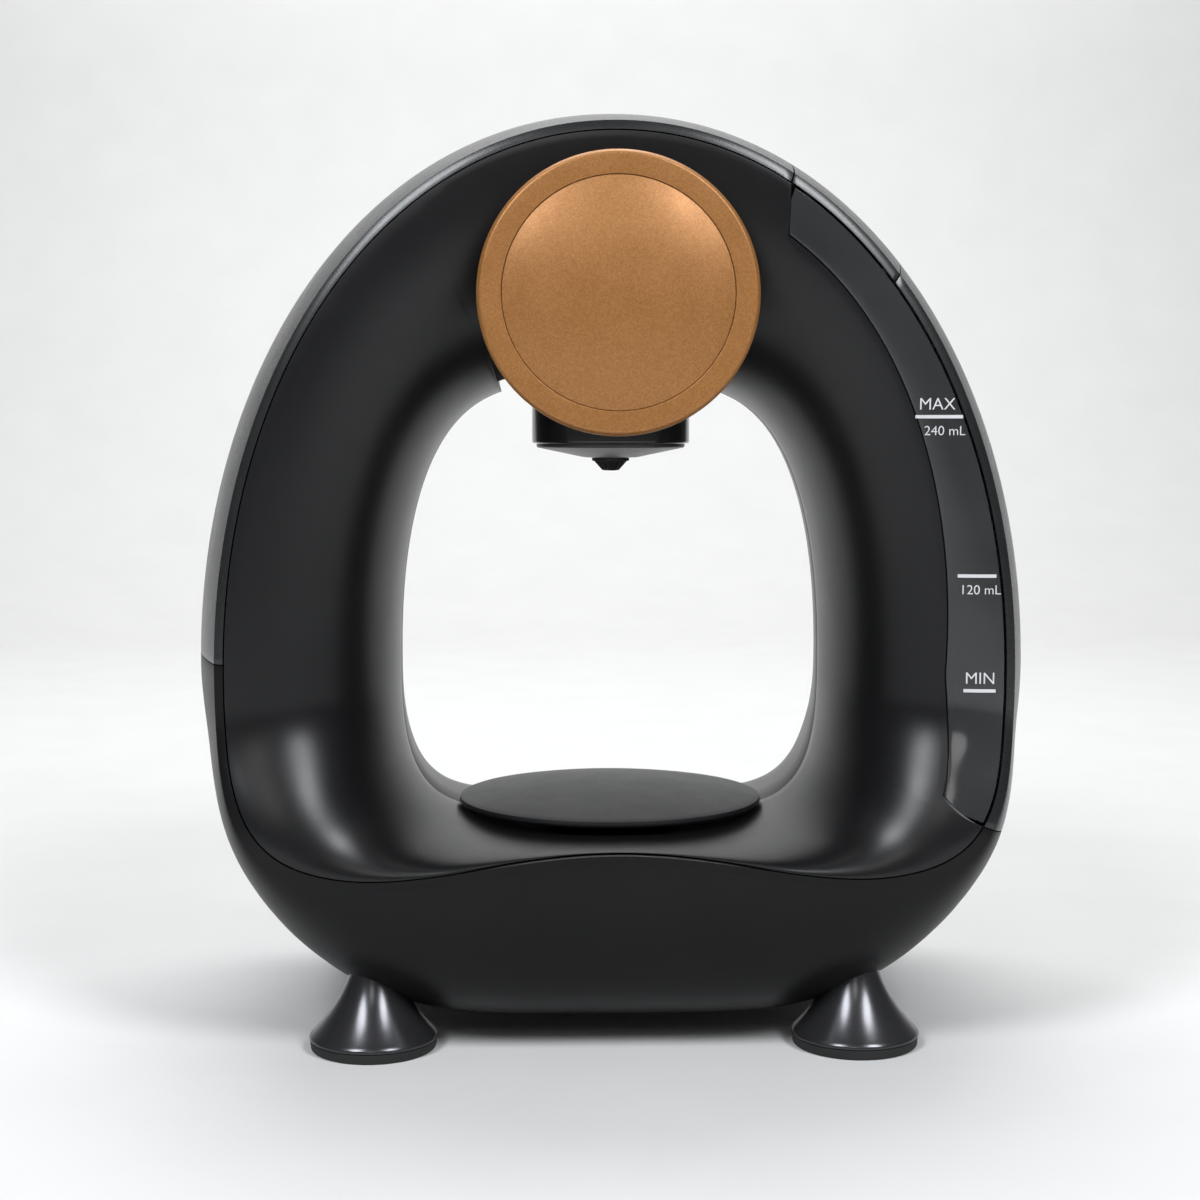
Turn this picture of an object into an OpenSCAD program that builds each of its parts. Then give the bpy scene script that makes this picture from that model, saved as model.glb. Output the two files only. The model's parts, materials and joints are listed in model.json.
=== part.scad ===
// Dual-brew coffee maker: an egg-shaped ring on four trumpet feet.
// A drawer in the arch holds the pod or filter, and the right leg is the water tank.
// Millimetres, +Z up, front towards -Y, origin on the table under the middle of the body.

/* [Body] */
// Half the width of the body at its waist
body_half_width = 124.8; // [116:0.2:134]
// Height of the top of the arch above the table
body_top = 273.6; // [262:0.2:288]
// Height of the waist, where the body is widest
waist_height = 110; // [104:1:116]
// Clearance between the table and the underside
floor_gap = 6; // [5:0.5:10]
// Half the depth of the arch
arch_half_depth = 58; // [54:0.5:64]
// Half the depth of the base
base_half_depth = 68; // [65:0.5:72]
// Thickness of the moulded walls
wall = 2.5; // [2:0.1:3]
// Gap along the seams between mouldings
seam_gap = 0.4; // [0.3:0.05:0.6]
// How far the front seam lies inside the outline
seam_inset = 14.1; // [12:0.1:17]
// Height of the base at the lowest part of its front edge
base_edge_height = 53.3; // [50:0.5:55]
// Rise of the wave in the middle of that edge
wave_rise = 7.9; // [5:0.1:8.2]

/* [Hole] */
// Half the width of the hole
hole_half_width = 64.8; // [60:0.2:68]
// Height of the top of the hole
hole_top = 194.6; // [190:0.2:198]
// Height of the platform at the foot of the hole
platform_height = 62; // [61.8:0.2:64]

/* [Tank] */
// Lower end of the tank window, as an angle round the waist
tank_low = -22; // [-24:0.5:-18]
// Upper end of the tank window
tank_high = 70.7; // [68:0.1:73]
// Angle at which the filler lid begins
lid_low = 55; // [50:0.5:58]
// Thickness of the tank wall
tank_wall = 2.2; // [1.8:0.1:2.6]
// Radius of the lid hinge pin
hinge_pin_r = 1; // [0.8:0.1:1.2]
// How far the lid opens, degrees
lid_travel = 80; // [60:1:85]

/* [Drawer] */
// Radius of the copper-coloured disc
disc_r = 39; // [36:0.1:42]
// Radius of the lower cylinder of the holder
holder_r = 24.1; // [23:0.1:25]
// Clearance round sliding and loose pieces
slide_gap = 0.3; // [0.25:0.05:0.4]
// Clearance between pieces that are fixed together
seat_gap = 0.12; // [0.1:0.01:0.2]
// How far the drawer pulls out
drawer_travel = 68; // [50:1:75]

/* [Button] */
// Radius of the brew button
button_r = 6; // [5:0.1:7]
// How far the button is pressed
button_travel = 1.5; // [1:0.1:2]

/* [Cup plate] */
// Radius of the plate's rim
plate_r = 47; // [44:0.5:50]
// Height of the plate's dome above its rim
plate_dome = 4.7; // [3:0.1:6]

/* [Feet] */
// Distance of a foot's middle from the side of the body
foot_inset = 54.1; // [50:0.1:60]
// Distance of a foot from the middle, front to back
foot_y = 45; // [42:0.5:48]
// Radius of a foot where it spreads at the bottom
foot_r = 18.7; // [17:0.1:20]
// Thickness of the rubber pad under a foot
pad_height = 3; // [2:0.1:4]

/* [Hidden] */
$fn = 64;

// Outline curves
seam_half_width = body_half_width - seam_inset;
seam_top = body_top - seam_inset + 3.1;
rear_edge_height = base_edge_height - 28;
rear_half_depth = base_half_depth + 2;
wave_half_width = 78;
lip_width = 3;
lip_drop = 1.2;
panel_roundness = 2.3;

// Band joints, as angles round the waist
left_joint = 178;
right_joint = 360 + tank_low;

// Drawer heights, hung from the top of the hole
runner_low = hole_top + 2.7;
runner_high = runner_low + 3;
holder_low = hole_top - 18.7;
holder_high = hole_top + 25.5;
holder_wall = 2;
holder_upper_r = holder_r + 1.4;
holder_y = -5;
cone_low = holder_low - 4.3;
nozzle_low = cone_low - 4;
nozzle_r = 6;
runner_half = holder_r + 3.2;
rail_inner = runner_half + slide_gap;
rail_outer = rail_inner + 2.4;
shelf_inner = rail_inner - 2.8;
rail_low = runner_low - 4.7;
rail_top = runner_high + slide_gap + 2;
rail_front = holder_y - runner_half - 1;
glide_length = 5;
cheek_front = -20;
cheek_rear = 18;
rail_rear = holder_y + runner_half + 2;
chassis_low = holder_high + 4.5;
chassis_plate = 4;
spray_z = holder_high + slide_gap + 1.2;
disc_z = hole_top + 22.5;
disc_back = -arch_half_depth - 5;
disc_thickness = 7;
dome_rise = 4.5;
dome_r = 0.82 * disc_r;

// Openings in the panels for the drawer, as angles each side of the top
slot_half_angle = 19.3;
wide_slot_half_angle = 22;
slot_share = (seam_top - holder_high - 5) / (seam_top - hole_top);
wide_slot_share = (seam_top - rail_top - 3) / (seam_top - hole_top);

// Button, hung from the top of the band
bezel_r = button_r + 2.2;
bezel_depth = 4;
button_flange = 2.2;
button_low = body_top - bezel_depth - slide_gap - button_flange;
switch_high = button_low - button_travel - slide_gap;
switch_low = switch_high - 3.2;

// Base
base_z = floor_gap + 10;
base_plate_thickness = 2.5;
base_top = base_z + base_plate_thickness;
post_x = 50;
post_y = 34;
pump_r = 16;
pump_z = base_top + 2 + pump_r;
pump_x = -30;
pump_y = 14;
heater_x = 34;
heater_y = -14;
heater_size = [44, 36, 26];
shim_thickness = 1.5;

// Hoses
hose_r = 3.5;
hose_bore = 2.2;

// Feet
foot_x = body_half_width - foot_inset;

// Plate
plate_z = platform_height + 2.2;
plate_thickness = 2.2;
plate_foot_r = 19;
plate_foot_gap = 0.35;

function smooth(t) = let (c = max(0, min(1, t))) c * c * (3 - 2 * c);
function span(from, to, steps) = [for (i = [0 : steps]) from + (to - from) * i / steps];

// Radius at angle t where |x/a|^p + |z/b|^q = 1
function level(r, t, a, b, e) = pow(abs(r * cos(t)) / a, e[0]) + pow(abs(r * sin(t)) / b, e[1]);
function reach(t, a, b, e, low, high, n = 26) =
    n == 0 ? (low + high) / 2 :
    let (mid = (low + high) / 2)
    level(mid, t, a, b, e) > 1 ? reach(t, a, b, e, low, mid, n - 1) : reach(t, a, b, e, mid, high, n - 1);

// An egg round the waist: half width, rise above it, fall below it and their exponents
function egg(t, a, up, low, e_up, e_low) =
    let (b = sin(t) >= 0 ? up : low)
    let (r = reach(t, a, b, sin(t) >= 0 ? e_up : e_low, 0, 2 * max(a, b)))
    [r * cos(t), waist_height + r * sin(t)];

function outer_line(t, grow = 0) = egg(t, body_half_width + grow, body_top - waist_height + grow,
    waist_height - floor_gap + grow, [2.1, 2], [3.86, 1.62]);
function hole_line(t, grow = 0) = egg(t, hole_half_width + grow, hole_top - waist_height + grow,
    waist_height - platform_height + grow, [4, 2.2], [6.5, 2.9]);
function wave(x) = wave_rise * (0.5 + 0.5 * cos(180 * min(1, abs(x) / wave_half_width)));
function seam_line(t, grow = 0) =
    let (e = egg(t, seam_half_width + grow, seam_top - waist_height + grow,
        waist_height - base_edge_height + grow, [2.05, 2.05], [8, 2.6]))
    [e[0], e[1] + (sin(t) < 0 ? wave(e[0]) : 0)];
function rear_line(t, grow = 0) = egg(t, seam_half_width + grow, seam_top - waist_height + grow,
    waist_height - rear_edge_height + grow, [2.05, 2.05], [4.4, 2.2]);
function depth_at(z, base) = arch_half_depth + (base - arch_half_depth) * smooth((waist_height - 10 - z) / 40);
function side_depth(z, side) = depth_at(z, side < 0 ? base_half_depth : rear_half_depth);

// A point on the front or rear face: share 0 is the seam, 1 the hole
function face_point(edge, hole, depth, share, m) =
    let (p = max(0, min(1, share)))
    let (q = pow(max(0, 1 - pow(p, m)), 1 / m))
    [edge[0] + (hole[0] - edge[0]) * p, depth * q, edge[1] + (hole[1] - edge[1]) * p];
// Where the platform is level the panel stops behind the rim of the lower shell
function ledge(rise) = (wall + seam_gap) * smooth((11 - rise) / 7);
function front_point(t, share) =
    let (s = seam_line(t), h = hole_line(t))
    face_point(s, h, ledge(norm(h - s)) - side_depth(s[1], -1), share, panel_roundness);
function rear_roundness(t) = panel_roundness + 1.7 * smooth(-sin(t));
function rear_point(t, share) =
    let (s = rear_line(t))
    face_point(s, hole_line(t), side_depth(s[1], 1), share, rear_roundness(t));
// Shares that are closest where the face turns into the hole
function turn(from, to, steps) = let (a = asin(pow(from, 1.15)), b = asin(pow(to, 1.15)))
    [for (k = span(a, b, steps)) pow(sin(k), 1 / 1.15)];

// A point on the outer band between its lip (k = 0) and the outline (k = 90)
function band_point(t, k, side) =
    let (l = side < 0 ? seam_line(t, lip_width) : rear_line(t, lip_width))
    let (s = side < 0 ? seam_line(t) : rear_line(t))
    let (o = outer_line(t))
    let (w = smooth((waist_height - 15 - o[1]) / 65))
    let (u = smooth((100 - abs(o[0])) / 60))
    let (e = 2 + (2 + 1.1 * u) * w, g = 1 + 1.2 * w)
    let (p = pow(sin(k), 2 / g), q = pow(cos(k), 2 / e))
    [l[0] + (o[0] - l[0]) * p, side * (side_depth(s[1], side) - lip_drop) * q, l[1] + (o[1] - l[1]) * p];
function lip_point(t, side) =
    let (s = side < 0 ? seam_line(t, seam_gap) : rear_line(t, seam_gap))
    [s[0], side * side_depth(s[1], side), s[1]];
band_steps = 5;
function band_section(t) = concat(
    [lip_point(t, -1)],
    [for (k = span(0, 90, band_steps)) band_point(t, k, -1)],
    [for (k = span(90 - 90 / band_steps, 0, band_steps - 1)) band_point(t, k, 1)],
    [lip_point(t, 1)]);

// How much of the face at angle t belongs to the tank window
function tank_share(t) =
    t < tank_low || t > tank_high ? 0 :
    (0.37 - 0.0022 * max(0, t) + 0.003 * min(0, t))
        * sqrt(min(1, (t - tank_low) / 2)) * min(1, (tank_high - t) / 1.8);
// Share at which a face stops half a seam gap short of the middle of the hole
function stop_share(depth, m) = pow(1 - pow(seam_gap / 2 / depth, m), 1 / m);
// Where the face stops short of the hole to let the drawer through, with a short run at each step
slot_run = 0.3;
function slot_end(t, narrow, wide, end) =
    let (d = abs(t - 90), run = 2 * slot_run)
    let (a = max(0, min(1, (d - slot_half_angle + slot_run) / run)))
    let (b = max(0, min(1, (d - wide_slot_half_angle + slot_run) / run)))
    narrow + (wide - narrow) * a + (end - wide) * b;

// Solid through a list of rings with equal numbers of points
module skin(rings, loop = false, hub = -1) {
    rows = len(rings);
    cols = len(rings[0]);
    sides = [for (i = [0 : rows - (loop ? 1 : 2)], j = [0 : cols - 1])
        let (a = i * cols + j, b = i * cols + (j + 1) % cols)
        let (c = ((i + 1) % rows) * cols + (j + 1) % cols, d = ((i + 1) % rows) * cols + j)
        each [[a, b, c], [a, c, d]]];
    pair = [for (i = [0 : cols / 2 - 2]) each
        [[i, cols - 2 - i, i + 1], [i, cols - 1 - i, cols - 2 - i]]];
    fan = [for (j = [1 : cols - 2]) [hub, (hub + j + 1) % cols, (hub + j) % cols]];
    cap = hub < 0 ? [for (f = pair) if (f[1] != f[2]) f] : fan;
    last = (rows - 1) * cols;
    ends = loop ? [] : concat(cap, [for (f = cap) [last + f[0], last + f[2], last + f[1]]]);
    points = [for (r = rings) each r];
    faces = concat(sides, ends);
    // Faces run clockwise seen from outside, whichever way the rings turn
    parts = [for (f = faces) points[f[0]] * cross(points[f[1]], points[f[2]])];
    total = parts * [for (f = faces) 1];
    polyhedron(points = points, faces = total < 0 ? faces : [for (f = faces) [f[0], f[2], f[1]]]);
}

// The same grid moved inwards by a thickness, straight back at its front and rear edges
function inward(grid, thickness) =
    let (rows = len(grid), cols = len(grid[0]))
    [for (i = [0 : rows - 1]) [for (j = [0 : cols - 1])
        let (u = grid[min(rows - 1, i + 1)][j] - grid[max(0, i - 1)][j])
        let (v = grid[i][min(cols - 1, j + 1)] - grid[i][max(0, j - 1)])
        let (n = j == 0 ? [0, 1, 0] : j == cols - 1 ? [0, -1, 0] : cross(u, v))
        grid[i][j] + n * (thickness / norm(n))]];
function backwards(list) = [for (i = [len(list) - 1 : -1 : 0]) list[i]];
function sorted(list) = len(list) < 2 ? list :
    let (p = list[floor(len(list) / 2)])
    concat(sorted([for (x = list) if (x < p) x]), [p], sorted([for (x = list) if (x > p) x]));

// A moulded wall between the grids of its two faces
module walled(grid, inner, closed) {
    skin([for (i = [0 : len(grid) - 1]) concat(grid[i], backwards(inner[i]))], closed);
}
module moulding(grid, thickness) {
    walled(grid, inward(grid, thickness), false);
}

// The point behind a face at angle t and share k, straight back where the face begins
function lining(face, t, k, first, thickness) =
    let (u = face(t + 0.3, k) - face(t - 0.3, k))
    let (v = face(t, min(1, k + 0.01)) - face(t, max(0, k - 0.01)))
    let (n = k == first ? [0, -1, 0] : cross(u, v))
    face(t, k) + n * (thickness / norm(n));
module panel(face, rows, thickness) {
    walled([for (r = rows) [for (q = r) face(q[0], q[1])]],
        [for (r = rows) [for (q = r) lining(face, q[0], q[1], r[0][1], thickness)]], true);
}

// Smooth path through points, and a tube along it
function between(a, b, c, d, t) = 0.5 * ((2 * b) + (c - a) * t + (2 * a - 5 * b + 4 * c - d) * t * t
    + (3 * b - a - 3 * c + d) * t * t * t);
function path(points, steps) =
    let (n = len(points))
    concat([for (i = [0 : n - 2], k = [0 : steps - 1])
        between(points[max(0, i - 1)], points[i], points[i + 1], points[min(n - 1, i + 2)], k / steps)],
        [points[n - 1]]);
module tube(points, r, bore, steps = 4, sides = 10) {
    line = path(points, steps);
    n = len(line);
    function ring(i, radius) =
        let (d = line[min(n - 1, i + 1)] - line[max(0, i - 1)])
        let (w = d / norm(d))
        let (h = abs(w[1]) < 0.8 ? [0, 1, 0] : [1, 0, 0])
        let (u = cross(h, w) / norm(cross(h, w)))
        let (v = cross(w, u))
        [for (k = [0 : sides - 1]) line[i] - radius * (cos(360 * k / sides) * u - sin(360 * k / sides) * v)];
    skin(concat([for (i = [0 : n - 1]) ring(i, r)], [for (i = [n - 1 : -1 : 0]) ring(i, bore)]), true);
}

// Angles for the faces, closer where the window and the slots begin
function step_angles(half) = concat(
    span(90 - half - slot_run, 90 - half + slot_run, 4),
    span(90 + half - slot_run, 90 + half + slot_run, 4));
front_angles = sorted(concat(
    [tank_low, tank_low + 0.5, tank_low + 1.2, tank_high - 1.8],
    span(tank_low + 2.2, 89 - wide_slot_half_angle, 19),
    step_angles(wide_slot_half_angle),
    step_angles(slot_half_angle),
    [90 - (wide_slot_half_angle + slot_half_angle) / 2, 90 + (wide_slot_half_angle + slot_half_angle) / 2],
    span(91 - slot_half_angle, 89 + slot_half_angle, 7),
    span(91 + wide_slot_half_angle, right_joint - 5, 46)));
rear_angles = sorted(concat(
    span(0, 89 - wide_slot_half_angle, 14),
    step_angles(wide_slot_half_angle),
    span(91 - wide_slot_half_angle, 89 + wide_slot_half_angle, 10),
    span(91 + wide_slot_half_angle, 355, 50)));

module front_panel() {
    color("#1b1b1c")
    panel(function (t, k) front_point(t, k), [for (t = front_angles)
        let (end = stop_share(side_depth(seam_line(t)[1], -1), panel_roundness))
        [for (k = turn(tank_share(t), slot_end(t, slot_share, wide_slot_share, end), 8)) [t, k]]], -wall);
}

module rear_panel() {
    color("#1b1b1c")
    panel(function (t, k) rear_point(t, k), [for (t = rear_angles)
        let (end = stop_share(side_depth(rear_line(t)[1], 1), rear_roundness(t)))
        [for (k = turn(0, slot_end(t, wide_slot_share, wide_slot_share, end), 8)) [t, k]]], wall);
}

module band(from, to, steps) {
    moulding([for (t = span(from, to, steps)) band_section(t)], wall);
}

// Seam gap as an angle at radius r
function gap_angle(r) = seam_gap / r * 90 / PI;
joint_gap = gap_angle(body_half_width);

module button_hole(r) {
    translate([0, 0, body_top - 12])
        cylinder(r = r, h = 20);
}

module upper_band() {
    color("#232324")
    difference() {
        band(tank_high + joint_gap, left_joint - joint_gap, 28);
        button_hole(bezel_r + seat_gap);
    }
}

module side_band() {
    color("#232324")
    band(tank_low + joint_gap, lid_low - joint_gap, 18);
}

module lower_shell() {
    color("#19191a")
    band(left_joint + joint_gap, right_joint - joint_gap, 40);
}

// Flat ring sector at mid depth that ties the arch and the left leg together
frame_thickness = 3;
module inner_frame() {
    angles = span(tank_high + 4, left_joint + 18, 30);
    color("#2f3032")
    difference() {
        translate([0, frame_thickness / 2, 0])
        rotate([90, 0, 0])
        linear_extrude(frame_thickness)
            polygon(concat(
                [for (t = angles) outer_line(t, -wall - 0.5)],
                [for (t = backwards(angles)) hole_line(t, wall + 0.6)]));
        translate([-rail_outer - 2, -5, 0])
            cube([2 * rail_outer + 4, 10, chassis_low + chassis_plate + seat_gap]);
        translate([-bezel_r - 0.4, -5, switch_low - seat_gap])
            cube([2 * bezel_r + 0.8, 10, 30]);
    }
}

// Cross-section of the tank at angle t, moved inwards by inset, its outer side let out by spill
function tank_loop(t, inset, spill = 0) =
    let (s = seam_line(t), h = hole_line(t))
    let (width = norm(h - s))
    let (i = inset / width, g = seam_gap / width)
    let (k = tank_share(t) - g - i, side = g + i - spill / width)
    let (back = arch_half_depth - 14 - inset, deep = 0.7 - i)
    let (place = function (share, y) [s[0] + (h[0] - s[0]) * share, y, s[1] + (h[1] - s[1]) * share])
    let (front = function (share) front_point(t, max(0, share))[1] + inset)
    concat(
        [for (j = span(k, side, 4)) place(j, front(j))],
        [place(side, back), place(0.4, back), place(deep, back - 10), place(deep, -arch_half_depth + 24 + inset),
            place(max(k, 0.1), front(k) + 8)]);
mouth_low = lid_low + 3;
mouth_high = tank_high - 4;
module tank() {
    outside = [for (t = concat([outlet_angle, tank_low + 1.1, tank_low + 2.2],
        span(tank_low + 6, tank_high - 1.9, 20), [tank_high - 1.2, tank_high - 0.6])) tank_loop(t, 0)];
    inside = [for (t = concat(span(tank_low + 2.4, mouth_low, 16), [mouth_low + 0.6],
        span(mouth_low + 3, mouth_high - 0.6, 3), [mouth_high]))
        tank_loop(t, tank_wall, t > mouth_low && t < mouth_high ? 5 : 0)];
    color("#3a3d42", 0.75)
    difference() {
        skin(outside, false, 5);
        skin(inside, false, 5);
        tank_port(outlet_r + seat_gap);
    }
}

// Outlet in the end wall at the foot of the tank
outlet_angle = tank_low + 0.5;
outlet_r = 4;
outlet_radius = (norm(seam_line(outlet_angle) - [0, waist_height])
    + norm(hole_line(outlet_angle) - [0, waist_height])) / 2;
module at_outlet() {
    translate([0, 0, waist_height])
    rotate([0, -outlet_angle, 0])
    translate([outlet_radius, 0, 0])
    rotate([0, 180, 0])
        children();
}
module tank_port(r) {
    at_outlet()
    translate([0, 0, -12])
        cylinder(r = r, h = 24);
}
module tank_outlet() {
    color("#8b8d8c")
    at_outlet()
    rotate_extrude()
        polygon([[2, -5], [outlet_r, -5], [outlet_r, seat_gap], [outlet_r + 2.5, seat_gap],
            [outlet_r + 2.5, 3], [outlet_r, 3], [outlet_r, 12], [2, 12]]);
}
module tank_filter() {
    color("#d9d9d4")
    at_outlet()
    rotate_extrude()
        polygon([[1, -12], [outlet_r + 1, -12], [outlet_r + 1, -5 - seat_gap], [2.5, -5 - seat_gap],
            [2.5, -10], [1, -10]]);
}

// Hinge line along the rear crease of the lid
lid_middle = (lid_low + tank_high) / 2;
hinge_mid = rear_line(lid_middle, lip_width);
hinge_ends = [rear_line(lid_low, lip_width), rear_line(tank_high, lip_width)];
hinge_angle = atan2(hinge_ends[1][1] - hinge_ends[0][1], hinge_ends[1][0] - hinge_ends[0][0]);
hinge_barrel_r = hinge_pin_r + 1.3;
hinge_depth = arch_half_depth - lip_drop - 0.4;
knuckle = 18;
leaf_knuckle = 7;
hinge_place = [hinge_mid[0], hinge_depth, hinge_mid[1]];
module at_hinge() {
    translate(hinge_place)
    rotate([0, -hinge_angle, 0])
        children();
}
module along_hinge(r, from, to) {
    at_hinge()
    translate([from, 0, 0])
    rotate([0, 90, 0])
        cylinder(r = r, h = to - from);
}

module tank_lid() {
    color("#232324")
    difference() {
        union() {
            difference() {
                moulding([for (t = span(lid_low + joint_gap, tank_high - joint_gap, 6)) band_section(t)], wall);
                at_hinge()
                translate([-40, -8, -0.5])
                    cube([80, 20, 20]);
            }
            along_hinge(hinge_barrel_r, -knuckle / 2, knuckle / 2);
        }
        along_hinge(hinge_pin_r + slide_gap / 2, -30, 30);
        along_hinge(hinge_barrel_r + slide_gap + 0.1, knuckle / 2, 40);
        along_hinge(hinge_barrel_r + slide_gap + 0.1, -40, -knuckle / 2);
    }
}

module lid_pin() {
    reach_out = knuckle / 2 + slide_gap + leaf_knuckle;
    color("#9a9a9c")
    along_hinge(hinge_pin_r, -reach_out, reach_out);
}

// Fixed half of the hinge: two knuckles on a plate behind the rear face
module hinge_leaf() {
    near = knuckle / 2 + slide_gap;
    far = near + leaf_knuckle;
    face = arch_half_depth - wall - seat_gap - hinge_depth;
    color("#2f3032")
    difference() {
        union() {
            for (side = [-1, 1]) {
                along_hinge(hinge_barrel_r, side < 0 ? -far : near, side < 0 ? -near : far);
                at_hinge()
                translate([side < 0 ? -far : near, -hinge_barrel_r + 0.05, 0])
                    cube([leaf_knuckle, face + hinge_barrel_r - 0.3, hinge_barrel_r + 3]);
            }
            at_hinge()
            translate([-far, -hinge_barrel_r - 1.6, hinge_barrel_r + 2.4])
                cube([2 * far, face + hinge_barrel_r + 0.9, 6]);
        }
        along_hinge(hinge_pin_r + seat_gap / 2, -40, 40);
    }
}

// Gasket round the mouth of the tank, under the lid
module lid_seal() {
    function sheet(from, to, front, back, out) = [for (t = span(from, to, 5))
        let (s = seam_line(t), h = hole_line(t))
        let (u = (s - h) / norm(s - h))
        [for (y = [front, back]) [s[0] + u[0] * out, y, s[1] + u[1] * out]]];
    function slab(low, high) = [for (i = [0 : len(low) - 1]) concat(low[i], backwards(high[i]))];
    rim = 2.5;
    front = -arch_half_depth + 8;
    back = arch_half_depth - 17;
    color("#2a2a2b")
    difference() {
        skin(slab(sheet(mouth_low - 1.2, mouth_high + 1, front, back, -seam_gap + seat_gap),
            sheet(mouth_low - 1.2, mouth_high + 1, front, back, 1.6)), false, 0);
        skin(slab(sheet(mouth_low + 0.6, mouth_high - 0.6, front + rim, back - rim, -3),
            sheet(mouth_low + 0.6, mouth_high - 0.6, front + rim, back - rim, 4)), false, 0);
    }
}

// Box between two corners
module block(from, to) {
    translate(from)
        cube(to - from);
}

module brew_chassis() {
    top = chassis_low + chassis_plate;
    color("#2f3032")
    difference() {
        union() {
            for (side = [-1, 1])
                block([min(side * rail_inner, side * rail_outer), cheek_front, rail_top],
                    [max(side * rail_inner, side * rail_outer), cheek_rear, chassis_low + 1]);
            block([-rail_outer, cheek_front, chassis_low], [rail_outer, cheek_rear, top]);
        }
        translate([0, spigot_y, chassis_low - 1])
            cylinder(r = spigot_r + seat_gap, h = chassis_plate + 2);
    }
}

spigot_y = bezel_r + hose_r;
spigot_r = 3;
spigot_high = chassis_low + chassis_plate + 4;
spray_r = holder_r - 0.6;
module spray_head() {
    color("#c9c9c6")
    difference() {
        union() {
            translate([0, holder_y, spray_z])
                cylinder(r = spray_r, h = chassis_low - seat_gap - spray_z);
            translate([0, spigot_y, spray_z + 1])
                cylinder(r = spigot_r, h = spigot_high - spray_z - 1);
        }
        translate([0, spigot_y, spray_z - 1])
            cylinder(r = spigot_r - 1, h = 30);
        for (a = [0 : 45 : 315])
            translate([12 * cos(a), holder_y + 12 * sin(a), spray_z - 1])
                cylinder(r = 0.8, h = 1.8);
    }
}

module spray_seal() {
    color("#b7b3a8")
    translate([0, holder_y, holder_high + slide_gap])
    difference() {
        cylinder(r = spray_r, h = spray_z - seat_gap - holder_high - slide_gap);
        translate([0, 0, -1])
            cylinder(r = spray_r - 3, h = 10);
    }
}

// Channels in which the holder's runner plate slides
module drawer_rails() {
    start = rail_front + glide_length;
    color("#161617")
    for (side = [0, 1])
        mirror([side, 0, 0]) {
            block([rail_inner, start, rail_low], [rail_outer, rail_rear, rail_top - seat_gap]);
            block([shelf_inner, start, rail_low], [rail_inner + 0.5, rail_rear, runner_low - slide_gap]);
            block([rail_inner - 1.6, start, runner_high + slide_gap],
                [rail_inner + 0.5, rail_rear, rail_top - seat_gap]);
        }
}

module rail_glides() {
    color("#e6e6e2")
    for (side = [0, 1])
        mirror([side, 0, 0])
            block([shelf_inner, rail_front, rail_low + 1],
                [rail_outer - 1.5, rail_front + glide_length - seat_gap, runner_low - slide_gap]);
}

// Turned shape whose axis runs towards the front, depth measured from the back of the disc
module facing() {
    translate([0, disc_back, disc_z])
    rotate([90, 0, 0])
    rotate_extrude($fn = 96)
        children();
}
disc_web = 4;
module brew_disc() {
    color("#a8733e")
    facing()
        polygon([[0, 0], [disc_r - 1.5, 0], [disc_r, 1.5], [disc_r, disc_thickness - 1],
            [disc_r - 1, disc_thickness], [dome_r + seat_gap, disc_thickness],
            [dome_r + seat_gap, disc_web], [0, disc_web]]);
}
module disc_dome() {
    low = disc_thickness - 0.8;
    color("#b07a44")
    facing()
        polygon(concat([[0, disc_web + seat_gap], [dome_r, disc_web + seat_gap]],
            [for (k = span(1, 0, 10)) [dome_r * k, low + (dome_rise + 0.8) * (1 - pow(k, 2.2))]]));
}
module disc_carrier() {
    color("#161617")
    difference() {
        block([-18, disc_back + seat_gap, runner_high + 3], [18, holder_y - 16, holder_high - 2]);
        translate([0, holder_y, 0])
            cylinder(r = holder_upper_r + seat_gap, h = 400);
    }
}

basket_rim = 24.4;
module pod_holder() {
    inside = holder_r - holder_wall;
    color("#101011")
    translate([0, holder_y, 0])
    difference() {
        union() {
            translate([0, 0, holder_low])
                cylinder(r = holder_r, h = runner_low - holder_low + 1);
            block([-runner_half, -runner_half, runner_low], [runner_half, runner_half, runner_high]);
            translate([0, 0, runner_high - 1])
                cylinder(r = holder_upper_r, h = holder_high - runner_high + 1);
        }
        translate([0, 0, holder_low + 2.5])
            cylinder(r = inside, h = 80);
        translate([0, 0, holder_high - 1.2])
            cylinder(r = holder_r + 0.5, h = 10);
        translate([0, 0, holder_low - 1])
            cylinder(r = 3.2, h = 10);
    }
}
module filter_basket() {
    top = holder_high - 0.3;
    low = holder_low + 6;
    wide = holder_r - holder_wall - 0.3;
    color("#b9bbbd")
    translate([0, holder_y, 0])
    rotate_extrude()
        polygon([[0, low], [wide - 3, low], [wide, top - 0.8], [holder_r + 0.3, top - 0.8],
            [holder_r + 0.3, top], [wide - 0.8, top], [wide - 3.8, low + 0.8], [0, low + 0.8]]);
}
module drip_cone() {
    color("#3b3c3d")
    translate([0, holder_y, 0])
    rotate_extrude()
        polygon([[3.2, cone_low], [8, cone_low], [holder_r - 1.4, holder_low - 1.2],
            [holder_r - 1.4, holder_low - seat_gap], [3.2, holder_low - seat_gap]]);
}
module drip_nozzle() {
    top = cone_low - seat_gap;
    color("#141415")
    translate([0, holder_y, 0])
    rotate_extrude()
        polygon([[2.2, nozzle_low], [4.2, nozzle_low], [4.6, nozzle_low + 0.6], [4.6, nozzle_low + 1.6],
            [5.2, nozzle_low + 1.8], [5.2, top - 1.2], [nozzle_r, top - 1], [nozzle_r, top], [2.2, top]]);
}

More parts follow.
